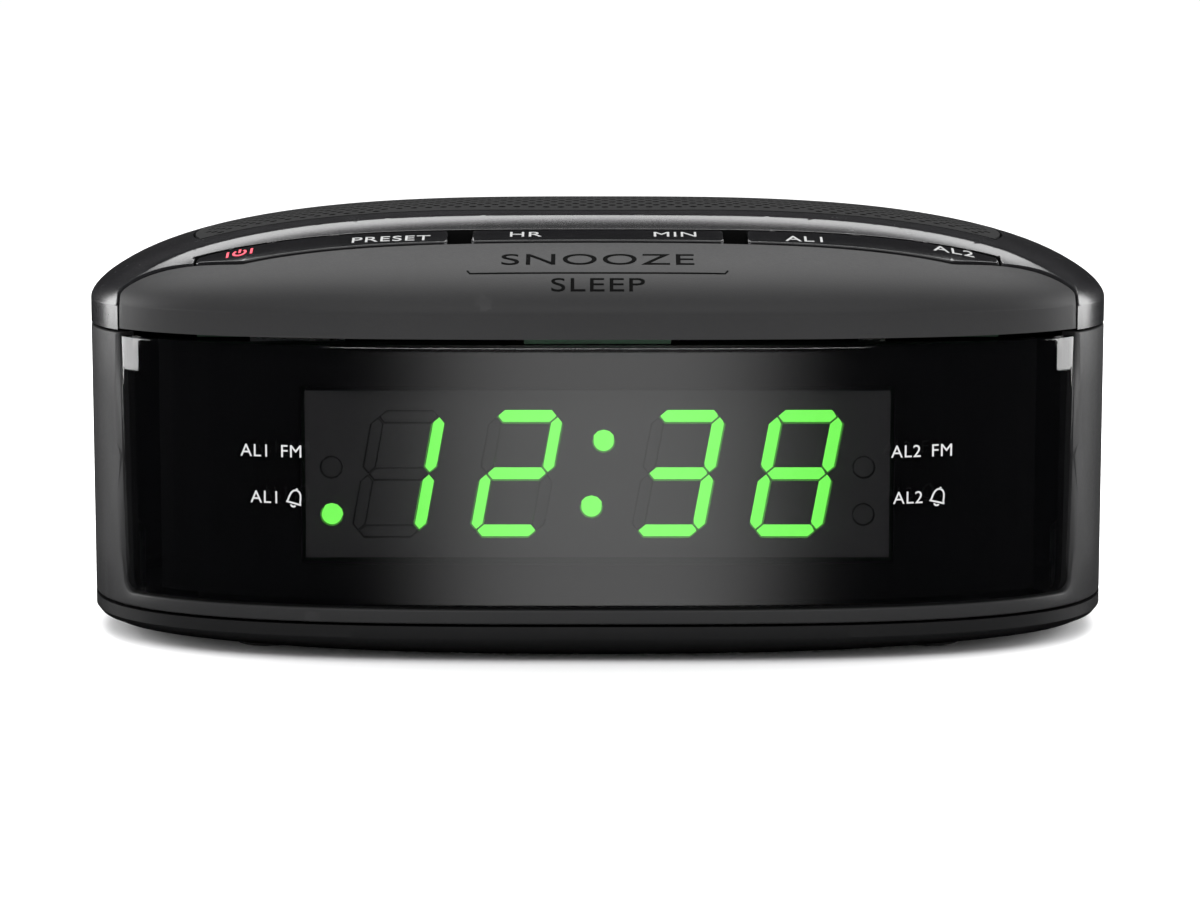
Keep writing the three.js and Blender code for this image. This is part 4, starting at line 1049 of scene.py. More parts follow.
class CLOCK_OT_base(bpy.types.Operator):
    """Base cover with its tucked-in rim, battery bay, foot seats and screw wells"""

    bl_idname = "clock.base"
    bl_label = "Base cover"

    def execute(self, context):
        sizes = cabinet()
        floor = BASE_LOW.z
        rim_top = HOUSING_LOW.z - GAP
        rise = rim_top - floor
        tuck = sizes.base_tuck
        steps = [(0.0, 0.0), (0.3, 0.1), (0.6, 0.22), (0.88, 0.42), (1.0, 0.62)]

        def inset_of(x, y):
            """How far a plan point lies inside the outline."""
            across, along = plan_terms(x, y, 0)
            share = (across + along) ** (1 / sizes.plan_power)
            reach = math.hypot(x, y - sizes.widest_y)
            return reach * (1 / share - 1) if share > 0 else reach

        def base_share(x, y):
            """1 on the bottom outline, more outside it."""
            power = sizes.base_power if y < sizes.widest_y else sizes.plan_power
            depth = front_depth() if y < sizes.widest_y else rear_depth()
            across = abs(x / (sizes.half_width - tuck)) ** power
            along = abs((y - sizes.widest_y) / (depth - tuck)) ** power
            return (across + along) ** (1 / power)

        def lower(x, y):
            low_share = base_share(x, y)
            if low_share <= 1:
                return floor
            plan_share = sum(plan_terms(x, y, 0)) ** (1 / sizes.plan_power)
            out = (1 - 1 / low_share) / max(1e-9, 1 / plan_share - 1 / low_share)
            shares, rises = zip(*steps)
            return floor + rise * float(np.interp(out, shares, rises))

        def upper(x, y):
            return rim_top if inset_of(x, y) < 3.1 * MM else floor + 2.6 * MM

        angles = even_angles(0, 2 * math.pi, 1.1 * MM)[:-1]
        outline = [plan_point(a) for a in angles]
        rows = []
        rows += [plan_point(a, inset * MM) for a in angles for inset in (3.0, 3.2)]
        for out in (0.96, 0.88, 0.76, 0.6, 0.45, 0.3, 0.15, 0.0, -0.1):
            for x, y in outline:
                inner = 1 / base_share(x, y)
                share = inner + out * (1 - inner)
                rows.append((x * share, sizes.widest_y + (y - sizes.widest_y) * share))
        holes = []
        travel = 6.3 * MM
        door = rounded_box(
            DOOR_LOW.x - GAP, DOOR_HIGH.x + GAP, DOOR_LOW.y - GAP, DOOR_HIGH.y + travel, 0.6 * MM
        )
        holes.append(door)
        for i in range(4):
            foot_low, foot_high = frame_box(f"rubber_foot_{i + 1}")
            middle = (foot_low + foot_high) / 2
            holes.append(circle(middle.x, middle.y, (foot_high.x - foot_low.x) / 2 + GAP))
            screw_low, screw_high = frame_box(f"case_screw_{i + 1}")
            middle = (screw_low + screw_high) / 2
            holes.append(circle(middle.x, middle.y, (screw_high.x - screw_low.x) / 2 + GAP, 24))
        plate = cap(outline, holes, within(rows, outline, holes), upper, lower)
        bay_low = Vector((DOOR_LOW.x + 1 * MM, DOOR_LOW.y, floor + 2.2 * MM))
        bay_high = Vector((DOOR_HIGH.x - 1 * MM, DOOR_HIGH.y - GAP, 13.4 * MM))
        wall = 1.4 * MM
        x0, y0, z0 = bay_low
        x1, y1, z1 = bay_high
        lining = [
            block((x0 - wall, y0 - wall, z1), (x1 + wall, y1 + wall, z1 + wall)),
            block((x0 - wall, y0 - wall, z0), (x0, y1 + wall, z1)),
            block((x1, y0 - wall, z0), (x1 + wall, y1 + wall, z1)),
            block((x0, y0 - wall, z0), (x1, y0, z1)),
            block((x0, y1, z0), (x1, y1 + wall, z1)),
        ]
        ceiling = []
        for hole in holes[1:]:
            xs, ys = zip(*hole)
            middle = (sum(xs) / len(xs), sum(ys) / len(ys), 0)
            radius = (max(xs) - min(xs)) / 2 + 1 * MM
            under, over = floor + 2.0 * MM, floor + 3.2 * MM
            ceiling.append(turned([(0, under), (radius, under), (radius, over), (0, over)], middle, sides=24))
        finish_mesh(
            "base", *joined(plate, *lining, *ceiling), "cabinet", "base_matte", ["base_cover"],
            materials=[material("base_matte")],
        )
        return {"FINISHED"}


class CLOCK_OT_lens(bpy.types.Operator):
    """Smoked front lens with rounded lower corners, and the legends printed on it"""

    bl_idname = "clock.lens"
    bl_label = "Front lens"

    def execute(self, context):
        half, low, high = LENS_HIGH.x, LENS_LOW.z, LENS_HIGH.z
        lean, corner = 0.5 * MM, 1.6 * MM
        foot = half - lean
        outline = [(x, low) for x in np.linspace(-foot + corner, foot - corner, 110)]
        for i in range(1, 9):
            turn = 1.5 * math.pi + i / 8 * math.pi / 2
            outline.append((foot - corner + corner * math.cos(turn), low + corner + corner * math.sin(turn)))
        outline += [(half, high)]
        outline += [(x, high) for x in np.linspace(half, -half, 150)[1:]]
        for i in range(0, 8):
            turn = math.pi + i / 8 * math.pi / 2
            outline.append((-foot + corner + corner * math.cos(turn), low + corner + corner * math.sin(turn)))
        columns = half * np.sin(np.linspace(-math.pi / 2, math.pi / 2, 170)[1:-1])
        rows = [(x, z) for x in columns for z in np.linspace(low, high, 8)[1:-1]]
        ease = 0.35 * MM
        flat, triangles = triangulated(outline, [], within(rows, outline), ease)
        drops = {p: eased_drop(d, ease) for p, d in zip(flat, distances(flat, [outline]))}
        mesh = slab(
            flat,
            triangles,
            lambda x, z: (x, front_y(x) + drops[(x, z)], z),
            lambda x, z: (x, front_y(x) + cabinet().wall, z),
        )
        finish_mesh(
            "lens", *mesh, "cabinet", "lens_smoked", ["front_lens"], materials=[material("lens_smoked")],
        )
        upper_z, lower_z = 26.2 * MM, 20.45 * MM
        cap_height = 1.5 * MM
        shapes = []
        for word, bell, x_word, x_bell in (("AL1", "FM", -42.1, -37.6), ("AL2", "FM", 37.9, 42.4)):
            shapes.append(moved(letters(word, cap_height, 1.0), x_word * MM, upper_z))
            shapes.append(moved(letters(bell, cap_height, 1.0), x_bell * MM, upper_z))
        for word, x_word, x_bell in (("AL1", -40.9, -37.2), ("AL2", 38.2, 42.0)):
            shapes.append(moved(letters(word, cap_height, 1.0), x_word * MM, lower_z))
            bell_tilt = math.radians(-14)
            shapes.extend(moved(shape, x_bell * MM, lower_z, bell_tilt) for shape in bell_shapes(2.3 * MM))
        printed("lens_legends", shapes, on_lens, "cabinet", "key_gloss", material("legend_print"))
        return {"FINISHED"}


def bell_shapes(height):
    """Outline of a small alarm bell."""
    side = [(-0.42, -0.30), (-0.34, -0.22), (-0.31, 0.02), (-0.26, 0.22), (-0.16, 0.36), (0.0, 0.42)]
    loop = side + [(-x, y) for x, y in side[-2::-1]]
    clapper = [(0.12 * math.cos(t), -0.40 + 0.09 * math.sin(t)) for t in np.linspace(math.pi, 2 * math.pi, 7)]
    scaled = [(x * height, y * height) for x, y in loop]
    return [
        stroke(scaled, 0.09 * height, closed=True),
        stroke([(x * height, y * height) for x, y in clapper], 0.09 * height),
        stroke([(0, 0.40 * height), (0, 0.52 * height)], 0.10 * height),
    ]


LIT_SEGMENTS = {
    "0": "abcdef", "1": "bc", "2": "abged", "3": "abgcd", "4": "fgbc",
    "5": "afgcd", "6": "afgedc", "7": "abc", "8": "abcdefg", "9": "abcdfg",
}


class CLOCK_OT_digits(bpy.types.Operator):
    """Light pipes of the digits, the colon and the alarm dots"""

    bl_idname = "clock.digits"
    bl_label = "Digits"

    def execute(self, context):
        sizes = context.scene.clock_display
        face = DISPLAY_LOW.y + GAP
        web_front = DISPLAY_LOW.y + 4.5 * MM
        web_back = DISPLAY_HIGH.y - GAP
        middle_z = (DISPLAY_LOW.z + DISPLAY_HIGH.z) / 2
        lean = math.tan(sizes.slant)
        half, step = sizes.digit_width / 2, sizes.digit_step
        bars = {
            "a": (-half, step, half, step), "g": (-half, 0, half, 0), "d": (-half, -step, half, -step),
            "f": (-half, 0, -half, step), "b": (half, 0, half, step),
            "e": (-half, -step, -half, 0), "c": (half, -step, half, 0),
        }

        def bar(middle, ends):
            x0, z0, x1, z1 = ends
            w, trim = sizes.segment / 2, 0.25 * MM
            if z0 == z1:
                loop = [(x0 + trim, z0), (x0 + trim + w, z0 - w), (x1 - trim - w, z0 - w),
                        (x1 - trim, z0), (x1 - trim - w, z0 + w), (x0 + trim + w, z0 + w)]
            else:
                loop = [(x0, z0 + trim), (x0 + w, z0 + trim + w), (x0 + w, z1 - trim - w),
                        (x0, z1 - trim), (x0 - w, z1 - trim - w), (x0 - w, z0 + trim + w)]
            return [(middle + x + z * lean, middle_z + z) for x, z in loop]

        def pipe(loop, front, back):
            flat, triangles = triangulated(loop, [], [], 0)
            return slab(flat, triangles, lambda x, z: (x, front, z), lambda x, z: (x, back, z))

        def lamps(name, lit_parts, dark_parts, web, node):
            x0, x1, z0, z1 = web
            back = pipe([(x0, z0), (x1, z0), (x1, z1), (x0, z1)], web_front, web_back)
            parts = [pipe(loop, face, web_front + 0.4 * MM) for loop in lit_parts]
            dark = [pipe(loop, face, web_front + 0.4 * MM) for loop in dark_parts]
            positions, faces = joined(*parts, *dark, back)
            lit_faces = sum(len(part[1]) for part in parts)
            piece = finish_mesh(
                name, positions, faces, "cabinet", "lamp_green", [node], sharp=math.radians(20),
                materials=[material("lamp_green"), material("lamp_unlit")],
            )
            for polygon in piece.data.polygons:
                polygon.material_index = 0 if polygon.index < lit_faces else 1

        for i, middle in enumerate(sizes.digit_x):
            lit = LIT_SEGMENTS[sizes.reading[i]]
            lamps(
                f"digit_lamps_{i + 1}",
                [bar(middle, ends) for key, ends in bars.items() if key in lit],
                [bar(middle, ends) for key, ends in bars.items() if key not in lit],
                (middle - 6.3 * MM, middle + 6.3 * MM, middle_z - 9 * MM, middle_z + 9 * MM),
                f"digit_{i + 1}",
            )
        rise = 4.1 * MM
        colon = [circle(z * lean, middle_z + z, sizes.dot_radius, 28) for z in (rise, -rise)]
        colon_web = (-2.6 * MM, 2.6 * MM, middle_z - 8 * MM, middle_z + 8 * MM)
        lamps("colon_lamps", colon, [], colon_web, "colon_dots")
        upper_z, lower_z = middle_z + 0.85 * MM, middle_z - 5.05 * MM
        for side, name in ((-1, "left"), (1, "right")):
            x = side * 32.9 * MM
            upper, lower = (circle(x, z, sizes.dot_radius, 28) for z in (upper_z, lower_z))
            lit = [lower] if side < 0 else []
            dark = [upper] if side < 0 else [upper, lower]
            web = (x - 1.6 * MM, x + 1.6 * MM, middle_z - 8 * MM, middle_z + 8 * MM)
            lamps(f"alarm_lamps_{name}", lit, dark, web, f"alarm_dots_{name}")
        return {"FINISHED"}


def grille_loop(shrink, step=0.8 * MM):
    """Outline of the grille, drawn in by shrink."""
    share = top_sizes().grille_share - shrink / cabinet().half_width
    ring = [plan_point(a, 0, share) for a in even_angles(-math.pi / 2, 1.5 * math.pi, step)[:-1]]
    front = [p for p in ring if p[1] > grille_front_y(p[0]) + shrink + step / 3]
    first = next(i for i, p in enumerate(front) if p[0] > 0)
    right, left = front[first][0], front[first - 1][0]
    return front + curve_points(lambda x: grille_front_y(x) + shrink, left, right, step)


class CLOCK_OT_bezel(bpy.types.Operator):
    """Gloss top bezel with its crest, skirt and key tray"""

    bl_idname = "clock.bezel"
    bl_label = "Top bezel"

    def execute(self, context):
        sizes, top = cabinet(), top_sizes()
        end = SNOOZE_HIGH.x + GAP
        row_gap = 0.6 * MM
        clear = top.key_length * 1.5 + top.key_notch + 0.35 * MM
        around = even_angles(front_angle(end), front_angle(-end) + 2 * math.pi, 0.9 * MM)
        side = [plan_point(a) for a in around]

        def cut(x):
            return snooze_rear_y(x) + row_gap

        def key_cut(x):
            return key_rear_y(x) + 0.35 * MM

        front = curve_points(cut, -end, -clear, 0.7 * MM)
        front += curve_points(key_cut, -clear, clear, 1.2 * MM)
        front += curve_points(cut, clear, end, 0.7 * MM)
        outline = side + front
        hole = grille_loop(0)
        crest = [(x, ridge_y(x)) for x in np.arange(-59 * MM, 59.1 * MM, 0.8 * MM)]
        rows = dome_rows()
        for offset in (0.25, 0.6, 1.0, 1.5, 2.1, 2.7, 3.4):
            rows += [(x, y - offset * MM) for x, y in crest] + [(x, y + offset * MM) for x, y in crest]
        rows += crest
        wall = sizes.wall
        rows += [plan_point(a, wall) for a in even_angles(-math.pi, math.pi, 1.2 * MM)]
        rows += [plan_point(a, wall - 0.06 * MM) for a in even_angles(-math.pi, math.pi, 1.2 * MM)]
        tray_wall = 1.3 * MM
        for offset in (tray_wall, tray_wall + 0.06 * MM):
            rows += [(x, key_cut(x) + offset) for x in np.linspace(-clear, clear, 90)]
        rows = within(rows, outline, [hole])

        def upper(x, y):
            return dome_height(x, y) + ridge_height(x, y)

        def lower(x, y):
            if sum(plan_terms(x, y, wall)) >= 1 - 1e-9:
                return BEZEL_LOW.z if BEZEL_LOW.z > 40 * MM - GAP else 40 * MM
            if abs(x) < clear and y < key_cut(x) + tray_wall + 0.01 * MM:
                return dome_height(x, y, 4.5 * MM)
            return dome_height(x, y, wall)

        skin = {}
        shell = cap(outline, [hole], rows, upper, lower, ease=0.12 * MM, skin=skin)
        # Floor under the key notches; it takes the painted-shade tray finish
        tray_outline = curve_points(
            lambda x: top.snooze_rear - 2.8 * MM - arc_sag(x, SNOOZE_REAR_RADIUS), -clear, clear, 2 * MM
        )
        tray_outline += curve_points(lambda x: key_cut(x) + 0.5 * MM, clear, -clear, 2 * MM)
        tray = cap(
            tray_outline, [], [],
            lambda x, y: dome_height(x, y, 3.2 * MM),
            lambda x, y: dome_height(x, y, 4.4 * MM),
        )
        piece = finish_mesh(
            "bezel", *joined(shell, tray), "cabinet", "bezel_gloss", ["top_bezel"],
            materials=[material("bezel_gloss"), material("tray_painted_shade")], skin=skin,
        )
        # Painted shade: the tray faces and the bezel's walls facing the keys take the near-black tray finish,
        # so these recesses read dark
        for polygon in piece.data.polygons:
            x, y, _ = polygon.center
            in_painted_shade_pocket = abs(x) < clear and abs(y - key_cut(x)) < 0.08 * MM and polygon.normal.y < -0.7
            polygon.material_index = 1 if in_painted_shade_pocket or polygon.index >= len(shell[1]) else 0
        return {"FINISHED"}


class CLOCK_OT_grille(bpy.types.Operator):
    """Domed speaker grille with rows of small round sound holes"""

    bl_idname = "clock.grille"
    bl_label = "Speaker grille"

    def execute(self, context):
        top = top_sizes()
        outline = grille_loop(GAP)
        pitch = top.hole_pitch
        margin = grille_loop(GAP + 1.3 * MM)
        centres = []
        row_step = pitch * math.sin(math.pi / 3)
        for row in range(-28, 29):
            for i in range(-40, 41):
                centres.append(((i + (row % 2) / 2) * pitch, 10 * MM + row * row_step))
        centres = within(centres, margin)
        holes = [circle(x, y, top.hole_radius, 8) for x, y in centres]
        rim = within(dome_rows(2.2 * MM), outline, [margin])
        skin = {}
        mesh = cap(
            outline, holes, rim,
            dome_height,
            lambda x, y: dome_height(x, y, 1.6 * MM),
            skin=skin,
        )
        finish_mesh(
            "grille", *mesh, "cabinet", "grille_matte", ["speaker_grille"],
            materials=[material("grille_matte")], skin=skin,
        )
        return {"FINISHED"}


def dome_piece(outline, thickness, ease, skin):
    """Closed shell under the dome over a plan outline, with rounded upper edges."""
    rows = within(dome_rows(), outline)
    return cap(
        outline, [], rows,
        dome_height,
        lambda x, y: dome_height(x, y, thickness),
        ease=ease, skin=skin,
    )


class CLOCK_OT_keys(bpy.types.Operator):
    """The three rocker keys and their legends"""

    bl_idname = "clock.keys"
    bl_label = "Rocker keys"

    def execute(self, context):
        top = top_sizes()
        pitch = top.key_length + top.key_notch
        names = ("power_preset_key", "hour_minute_key", "alarm_key")
        for i, node in enumerate(names):
            middle = (i - 1) * pitch
            x0, x1 = middle - top.key_length / 2, middle + top.key_length / 2
            outline = curve_points(lambda x: snooze_rear_y(x) + 0.6 * MM, x0, x1, 0.6 * MM)
            outline += curve_points(key_rear_y, x1, x0, 0.6 * MM)
            skin = {}
            mesh = dome_piece(outline, 2 * MM, 0.14 * MM, skin)
            finish_mesh(
                f"{node}_cap", *mesh, node, "key_gloss", [node], materials=[material("key_gloss")], skin=skin,
            )
        size = 1.6 * MM
        legends = {
            "power_preset_key": [("PRESET", -25.9, -20.0)],
            "hour_minute_key": [("HR", -9.1, -19.1), ("MIN", 9.7, -19.1)],
            "alarm_key": [("AL1", 26.1, -20.1), ("AL2", 44.6, -19.6)],
        }
        for node, words in legends.items():
            shapes = [moved(letters(word, size, 1.3), x * MM, y * MM) for word, x, y in words]
            printed(f"{node}_legend", shapes, on_dome, node, "key_gloss", material("key_legend"))
        x, y, radius = -44.8 * MM, -20.1 * MM, 0.75 * MM
        turns = np.linspace(0.7, 2 * math.pi - 0.7, 22)
        arc = [(x + radius * math.sin(t), y + radius * math.cos(t)) for t in turns]
        symbol = [stroke(arc, 0.3 * MM), stroke([(x, y), (x, y + 1.0 * MM)], 0.3 * MM)]
        symbol += [stroke([(x + 1.5 * MM, y - 0.75 * MM), (x + 1.5 * MM, y + 0.75 * MM)], 0.3 * MM)]
        symbol += [stroke([(x - 1.5 * MM, y - 0.75 * MM), (x - 1.5 * MM, y + 0.75 * MM)], 0.3 * MM)]
        printed("power_legend", symbol, on_dome, "power_preset_key", "key_gloss", material("legend_power"))
        return {"FINISHED"}


class CLOCK_OT_snooze(bpy.types.Operator):
    """Snooze bar with its front lip, hinge feet and engraved legends"""

    bl_idname = "clock.snooze"
    bl_label = "Snooze bar"

    def execute(self, context):
        top = top_sizes()
        half = SNOOZE_HIGH.x
        thickness = top.snooze_wall
        lip = 40.2 * MM
        angles = even_angles(front_angle(-half), front_angle(half), 0.8 * MM)
        front = [plan_point(a) for a in angles]
        outline = front + curve_points(snooze_rear_y, half, -half, 0.8 * MM)
        rows = dome_rows(1.3 * MM)
        for inset in (thickness, thickness - 0.06 * MM):
            rows += [plan_point(a, inset) for a in angles]
        rows = within(rows, outline)
        rear = curve_points(snooze_rear_y, half, -half, 0.8 * MM)
        ease = 0.3 * MM
        flat, triangles = triangulated(outline, [], rows, ease)
        ahead = rear + [(-half, -60 * MM), (half, -60 * MM)]
        gaps, outward = nearest_edges(flat, [ahead])
        drops = {p: eased_drop(d, ease) for p, d in zip(flat, gaps)}
        slopes = [eased_slope(d, ease) for d in gaps]
        skin = height_skin(flat, dome_height, drops, slopes, outward)

        def lower(x, y):
            if sum(plan_terms(x, y, thickness)) >= 1 - 1e-9:
                return (x, y, lip)
            return (x, y, dome_height(x, y, thickness))

        shell = slab(flat, triangles, lambda x, y: (x, y, dome_height(x, y) - drops[(x, y)]), lower)
        feet = []
        for side in (-1, 1):
            x = side * 20 * MM
            y0, y1 = -26.4 * MM, -22.5 * MM
            top_z = dome_height(x, y0, thickness) + 0.4 * MM
            feet.append(block((x - 3 * MM, y0, 42.1 * MM), (x + 3 * MM, y0 + 1.2 * MM, top_z)))
            feet.append(cap(
                [(x - 3 * MM, y0), (x + 3 * MM, y0), (x + 3 * MM, y1), (x - 3 * MM, y1)], [],
                [(x, y0 + share * (y1 - y0)) for share in (0.25, 0.5, 0.75)],
                lambda u, v: dome_height(u, v, 5.05 * MM),
                lambda u, v: dome_height(u, v, 6.15 * MM),
            ))
        finish_mesh(
            "snooze", *joined(shell, *feet), "snooze_bar", "snooze_matte", ["snooze_bar"],
            materials=[material("snooze_matte")], skin=skin,
        )
        reach, tail = 16 * MM, 0.55 * MM
        line_y = -29.3 * MM
        bracket = [(-reach, line_y + tail), (-reach + 0.35 * MM, line_y)]
        bracket += [(x, line_y) for x in np.linspace(-reach + 1 * MM, reach - 1 * MM, 40)]
        bracket += [(reach - 0.35 * MM, line_y), (reach, line_y + tail)]
        shapes = [
            moved(letters("SNOOZE", 2.5 * MM, 1.6), 0, -26.4 * MM),
            moved(letters("SLEEP", 1.95 * MM, 1.6), 0, -31.2 * MM),
            stroke(bracket, 0.22 * MM),
        ]
        printed("snooze_legends", shapes, on_dome, "snooze_bar", "snooze_matte", material("legend_engraved"))
        return {"FINISHED"}


class CLOCK_OT_underside(bpy.types.Operator):
    """Rubber feet, case screws and battery door"""

    bl_idname = "clock.underside"
    bl_label = "Underside"

    def execute(self, context):
        for i in range(4):
            low, high = frame_box(f"rubber_foot_{i + 1}")
            middle = ((low.x + high.x) / 2, (low.y + high.y) / 2, 0)
            r, top, edge = (high.x - low.x) / 2, high.z, 0.35 * MM
            profile = [(0, 0.12 * MM), (r * 0.55, 0.12 * MM), (r * 0.62, low.z), (r - edge, low.z)]
            profile += [(r - 0.1 * MM, low.z + 0.1 * MM), (r, low.z + edge), (r, top), (0, top)]
            finish_mesh(
                f"foot_{i + 1}", *turned(profile, middle), "cabinet", "rubber_black", [f"rubber_foot_{i + 1}"],
                materials=[material("rubber_black")],
            )
            low, high = frame_box(f"case_screw_{i + 1}")
            x, y = (low.x + high.x) / 2, (low.y + high.y) / 2
            r, head = (high.x - low.x) / 2, 0.9 * MM
            arm, wide = r * 0.62, r * 0.2
            cross = [(wide, wide), (wide, arm), (-wide, arm), (-wide, wide), (-arm, wide), (-arm, -wide),
                     (-wide, -wide), (-wide, -arm), (wide, -arm), (wide, -wide), (arm, -wide), (arm, wide)]
            cross = [(x + u, y + v) for u, v in cross]
            head_low = low.z

            def under(u, v, x=x, y=y, r=r, z=head_low):
                return z + 0.35 * MM * (math.hypot(u - x, v - y) / r) ** 3

            rings = [p for share in (0.45, 0.7, 0.85, 0.94) for p in circle(x, y, r * share, 32)]
            rings = within(rings, circle(x, y, r), [cross])
            disc = cap(circle(x, y, r, 40), [cross], rings, lambda u, v, z=head_low + head: z, under)
            shank_radius = 1.4 * MM
            inner = r - 0.05 * MM
            head_top = head_low + 1.4 * head
            shank = turned(
                [(0, head_low + head * 0.8), (inner, head_low + head * 0.8), (inner, head_top),
                 (shank_radius, head_top), (shank_radius, high.z - 1 * MM), (0.4 * MM, high.z), (0, high.z)],
                (x, y, 0), sides=32,
            )
            finish_mesh(
                f"screw_{i + 1}", *joined(disc, shank), "cabinet", "steel_plated", [f"case_screw_{i + 1}"],
                materials=[material("steel_plated")],
            )
        x0, x1 = DOOR_LOW.x + 1 * MM, DOOR_HIGH.x - 1 * MM
        y0, y1 = DOOR_LOW.y, DOOR_HIGH.y
        outline = rounded_box(x0, x1, y0, y1, 0.5 * MM)
        middle_x = (x0 + x1) / 2
        grip_rows = [y1 - 2.5 * MM - i * 0.35 * MM for i in range(21)]

        def under(x, y):
            grip = abs(x - middle_x) < 6.5 * MM and grip_rows[-1] <= y <= grip_rows[0]
            wave = 0.5 - 0.5 * math.cos((grip_rows[0] - y) / (1.4 * MM) * 2 * math.pi)
            return DOOR_LOW.z + (0.4 * MM * wave if grip else 0.0)

        rows = [(x, y) for y in grip_rows for x in np.linspace(middle_x - 6.6 * MM, middle_x + 6.6 * MM, 12)]
        leaf = cap(outline, [], rows, lambda x, y: DOOR_HIGH.z, under)
        front, back = y0 + 0.2 * MM, y1 - 0.2 * MM
        low_z, high_z = DOOR_LOW.z + 0.8 * MM, DOOR_HIGH.z - 0.02 * MM
        tongues = [
            block((DOOR_LOW.x, front, low_z), (x0 + 0.4 * MM, back, high_z)),
            block((x1 - 0.4 * MM, front, low_z), (DOOR_HIGH.x, back, high_z)),
        ]
        finish_mesh(
            "door", *joined(leaf, *tongues), "battery_door", "base_matte", ["battery_door"],
            materials=[material("base_matte")],
        )
        return {"FINISHED"}


class CLOCK_OT_glands(bpy.types.Operator):
    """Rubber glands for the mains cord and the aerial wire"""

    bl_idname = "clock.glands"
    bl_label = "Cord glands"

    def execute(self, context):
        for node, bore in (("mains_cord_gland", 3 * MM), ("antenna_gland", 1 * MM)):
            low, high = frame_box(node)
            middle = ((low.x + high.x) / 2, 0, (low.z + high.z) / 2)
            flange = (high.x - low.x) / 2
            body = flange - 1.05 * MM
            y0, y1 = low.y, high.y
            lip = 1.1 * MM
            profile = [
                (bore, y0), (body, y0), (body, y1 - lip),
                (flange - 0.2 * MM, y1 - lip), (flange, y1 - lip + 0.2 * MM),
                (flange, y1 - 0.4 * MM), (flange - 0.12 * MM, y1 - 0.12 * MM), (flange - 0.4 * MM, y1),
                (bore + 0.5 * MM, y1), (bore + 0.12 * MM, y1 - 0.15 * MM), (bore, y1 - 0.5 * MM),
            ]
            finish_mesh(
                f"{node}_rubber", *turned(profile, middle, axis="Y"), "cabinet", "rubber_black", [node],
                materials=[material("rubber_black")],
            )
        return {"FINISHED"}


def area_light(name, place_at, target, size, power, shape_y=None):
    """Soft lamp aimed at a point."""
    data = bpy.data.lights.new(name, "AREA")
    data.energy = power
    data.size = size
    if shape_y:
        data.shape = "RECTANGLE"
        data.size_y = shape_y
    lamp_object = bpy.data.objects.new(name, data)
    lamp_object.location = place_at
    aim = Vector(target) - Vector(place_at)
    lamp_object.rotation_euler = aim.to_track_quat("-Z", "Y").to_euler()
    bpy.context.scene.collection.objects.link(lamp_object)
    return lamp_object


def plain_mesh(name, positions, faces, chosen):
    """A piece of the studio, such as the floor or a card."""
    mesh = bpy.data.meshes.new(name)
    mesh.from_pydata(positions, [], faces)
    mesh.materials.append(chosen)
    item = bpy.data.objects.new(name, mesh)
    bpy.context.scene.collection.objects.link(item)
    return item


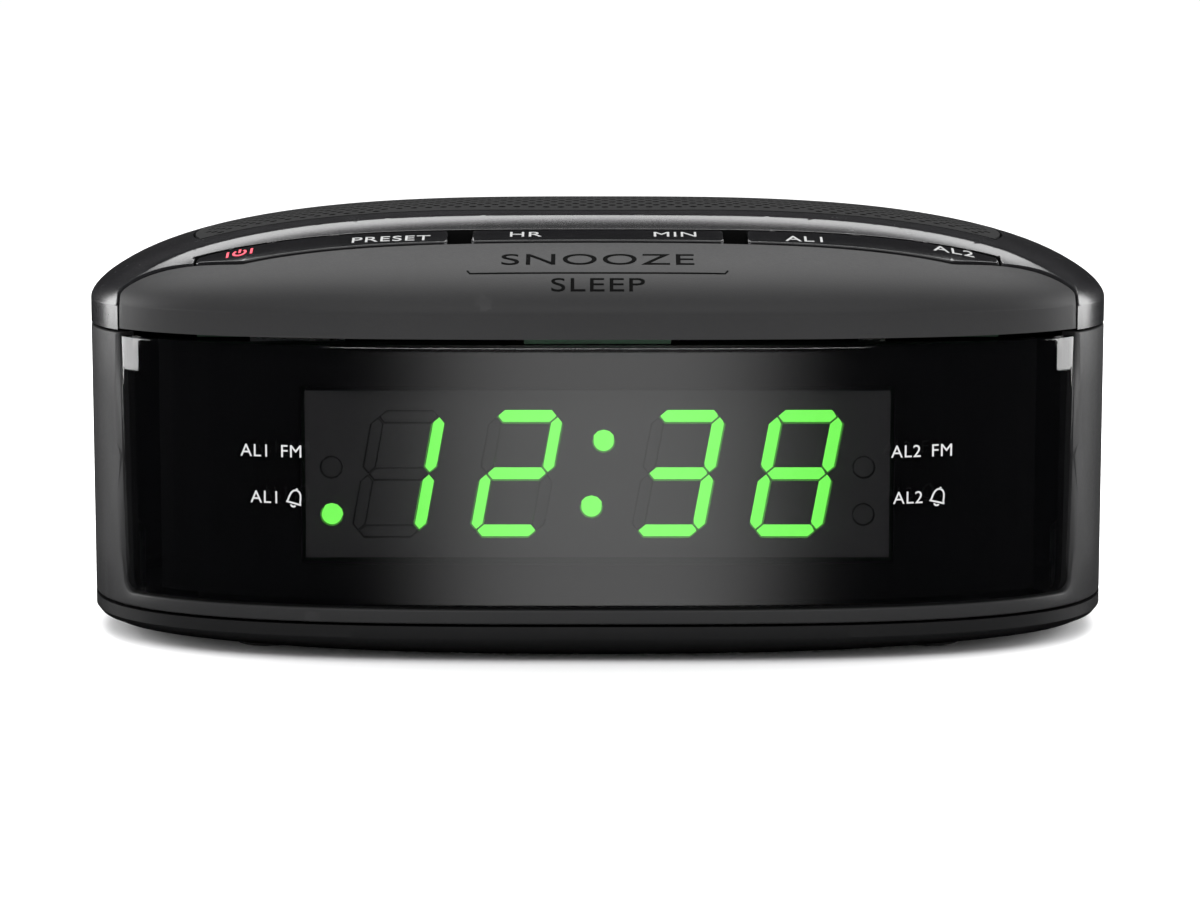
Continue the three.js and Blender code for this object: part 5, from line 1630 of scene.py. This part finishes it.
class CLOCK_OT_stage(bpy.types.Operator):
    """Pale floor, soft lamps and camera"""

    bl_idname = "clock.stage"
    bl_label = "Stage"

    def execute(self, context):
        scene = context.scene
        scene.view_settings.view_transform = "Standard"
        finish = Finish("floor_paint")
        cloud = finish.noise(3.0, 2.0)
        shade = finishes().floor
        floor_paint = finish.shader({
            "Base Color": finish.mix(cloud, rgba(shade, 0.985), rgba(shade, 1.01)),
            "Roughness": (0.8 + (cloud - 0.5) * 0.05).clamped(),
            "Specular IOR Level": 0.1,
        })
        reach = 30.0
        floor = plain_mesh(
            "floor", [(-reach, -reach, 0), (reach, -reach, 0), (reach, reach, 0), (-reach, reach, 0)],
            [(0, 1, 2, 3)], floor_paint,
        )
        floor.visible_glossy = False
        glow = Finish("front_card_glow")
        split_spot = glow.node("ShaderNodeSeparateXYZ", inputs={0: glow.spot()})
        sideways = (split_spot - 0.012) / 0.125
        strength = glow.node("ShaderNodeMath", {"operation": "EXPONENT"}, {0: sideways * sideways * -0.5})
        emission = glow.node("ShaderNodeEmission", inputs={"Color": (1, 1, 1, 1), "Strength": strength * 1.75})
        glow.node("ShaderNodeOutputMaterial", inputs={"Surface": emission})
        card = plain_mesh(
            "front_card", [(-0.6, -1.0, -0.6), (0.6, -1.0, -0.6), (0.6, -1.0, 0.12), (-0.6, -1.0, 0.12)],
            [(0, 1, 2, 3)], glow.material,
        )
        card.visible_camera = False
        card.visible_diffuse = False
        card.visible_shadow = False
        card.visible_transmission = False
        world = bpy.data.worlds.new("studio")
        scene.world = world
        world.use_nodes = True
        background = world.node_tree.nodes["Background"]
        background.inputs["Color"].default_value = (1, 1, 1, 1)
        background.inputs["Strength"].default_value = 1.22
        world.cycles_visibility.glossy = False
        area_light("top_softbox", (0, 0.3, 0.6), (0, -0.01, 0.04), 0.9, 6, 0.3)
        area_light("front_softbox", (0.0, -0.9, 0.85), (0, 0, 0.03), 0.9, 7, 0.5)
        for side in (-1, 1):
            area_light(f"side_strip_{side}", (side * 0.75, 0.22, 0.2), (0, 0, 0.03), 0.5, 6, 0.5)
        camera_data = bpy.data.cameras.new("camera")
        camera_data.lens = 104.2
        camera_data.sensor_width = 36
        camera = bpy.data.objects.new("camera", camera_data)
        camera.location = (0.3 * MM, -454 * MM, 83.4 * MM)
        camera.rotation_euler = (math.radians(90 - 7.69), 0, 0)
        scene.collection.objects.link(camera)
        scene.camera = camera
        return {"FINISHED"}


STEPS = (
    CLOCK_OT_frame_finishes,
    CLOCK_OT_housing,
    CLOCK_OT_base,
    CLOCK_OT_lens,
    CLOCK_OT_digits,
    CLOCK_OT_bezel,
    CLOCK_OT_grille,
    CLOCK_OT_keys,
    CLOCK_OT_snooze,
    CLOCK_OT_underside,
    CLOCK_OT_glands,
    CLOCK_OT_stage,
)
GROUPS = {
    "clock_cabinet": CabinetSizes,
    "clock_top": TopSizes,
    "clock_display": DisplaySizes,
    "clock_finishes": Finishes,
}


class CLOCK_PT_panel(bpy.types.Panel):
    """Lists the clock radio's pieces and settings"""

    bl_idname = "CLOCK_PT_panel"
    bl_label = "Clock Radio"
    bl_space_type = "VIEW_3D"
    bl_region_type = "UI"
    bl_category = "Clock Radio"

    def draw(self, context):
        for name, group in GROUPS.items():
            box = self.layout.box()
            settings = getattr(context.scene, name)
            for key in group.__annotations__:
                box.prop(settings, key)
        for step in STEPS:
            self.layout.operator(step.bl_idname)


CLASSES = (*GROUPS.values(), *STEPS, CLOCK_PT_panel)


def register():
    for item in CLASSES:
        bpy.utils.register_class(item)
    for name, group in GROUPS.items():
        setattr(bpy.types.Scene, name, PointerProperty(type=group))


def unregister():
    for name in GROUPS:
        delattr(bpy.types.Scene, name)
    for item in reversed(CLASSES):
        bpy.utils.unregister_class(item)


def main():
    """Builds every piece in order."""
    register()
    bpy.ops.clock.frame_finishes()
    bpy.ops.clock.housing()
    bpy.ops.clock.base()
    bpy.ops.clock.lens()
    bpy.ops.clock.digits()
    bpy.ops.clock.bezel()
    bpy.ops.clock.grille()
    bpy.ops.clock.keys()
    bpy.ops.clock.snooze()
    bpy.ops.clock.underside()
    bpy.ops.clock.glands()
    bpy.ops.clock.stage()


if __name__ == "__main__":
    main()
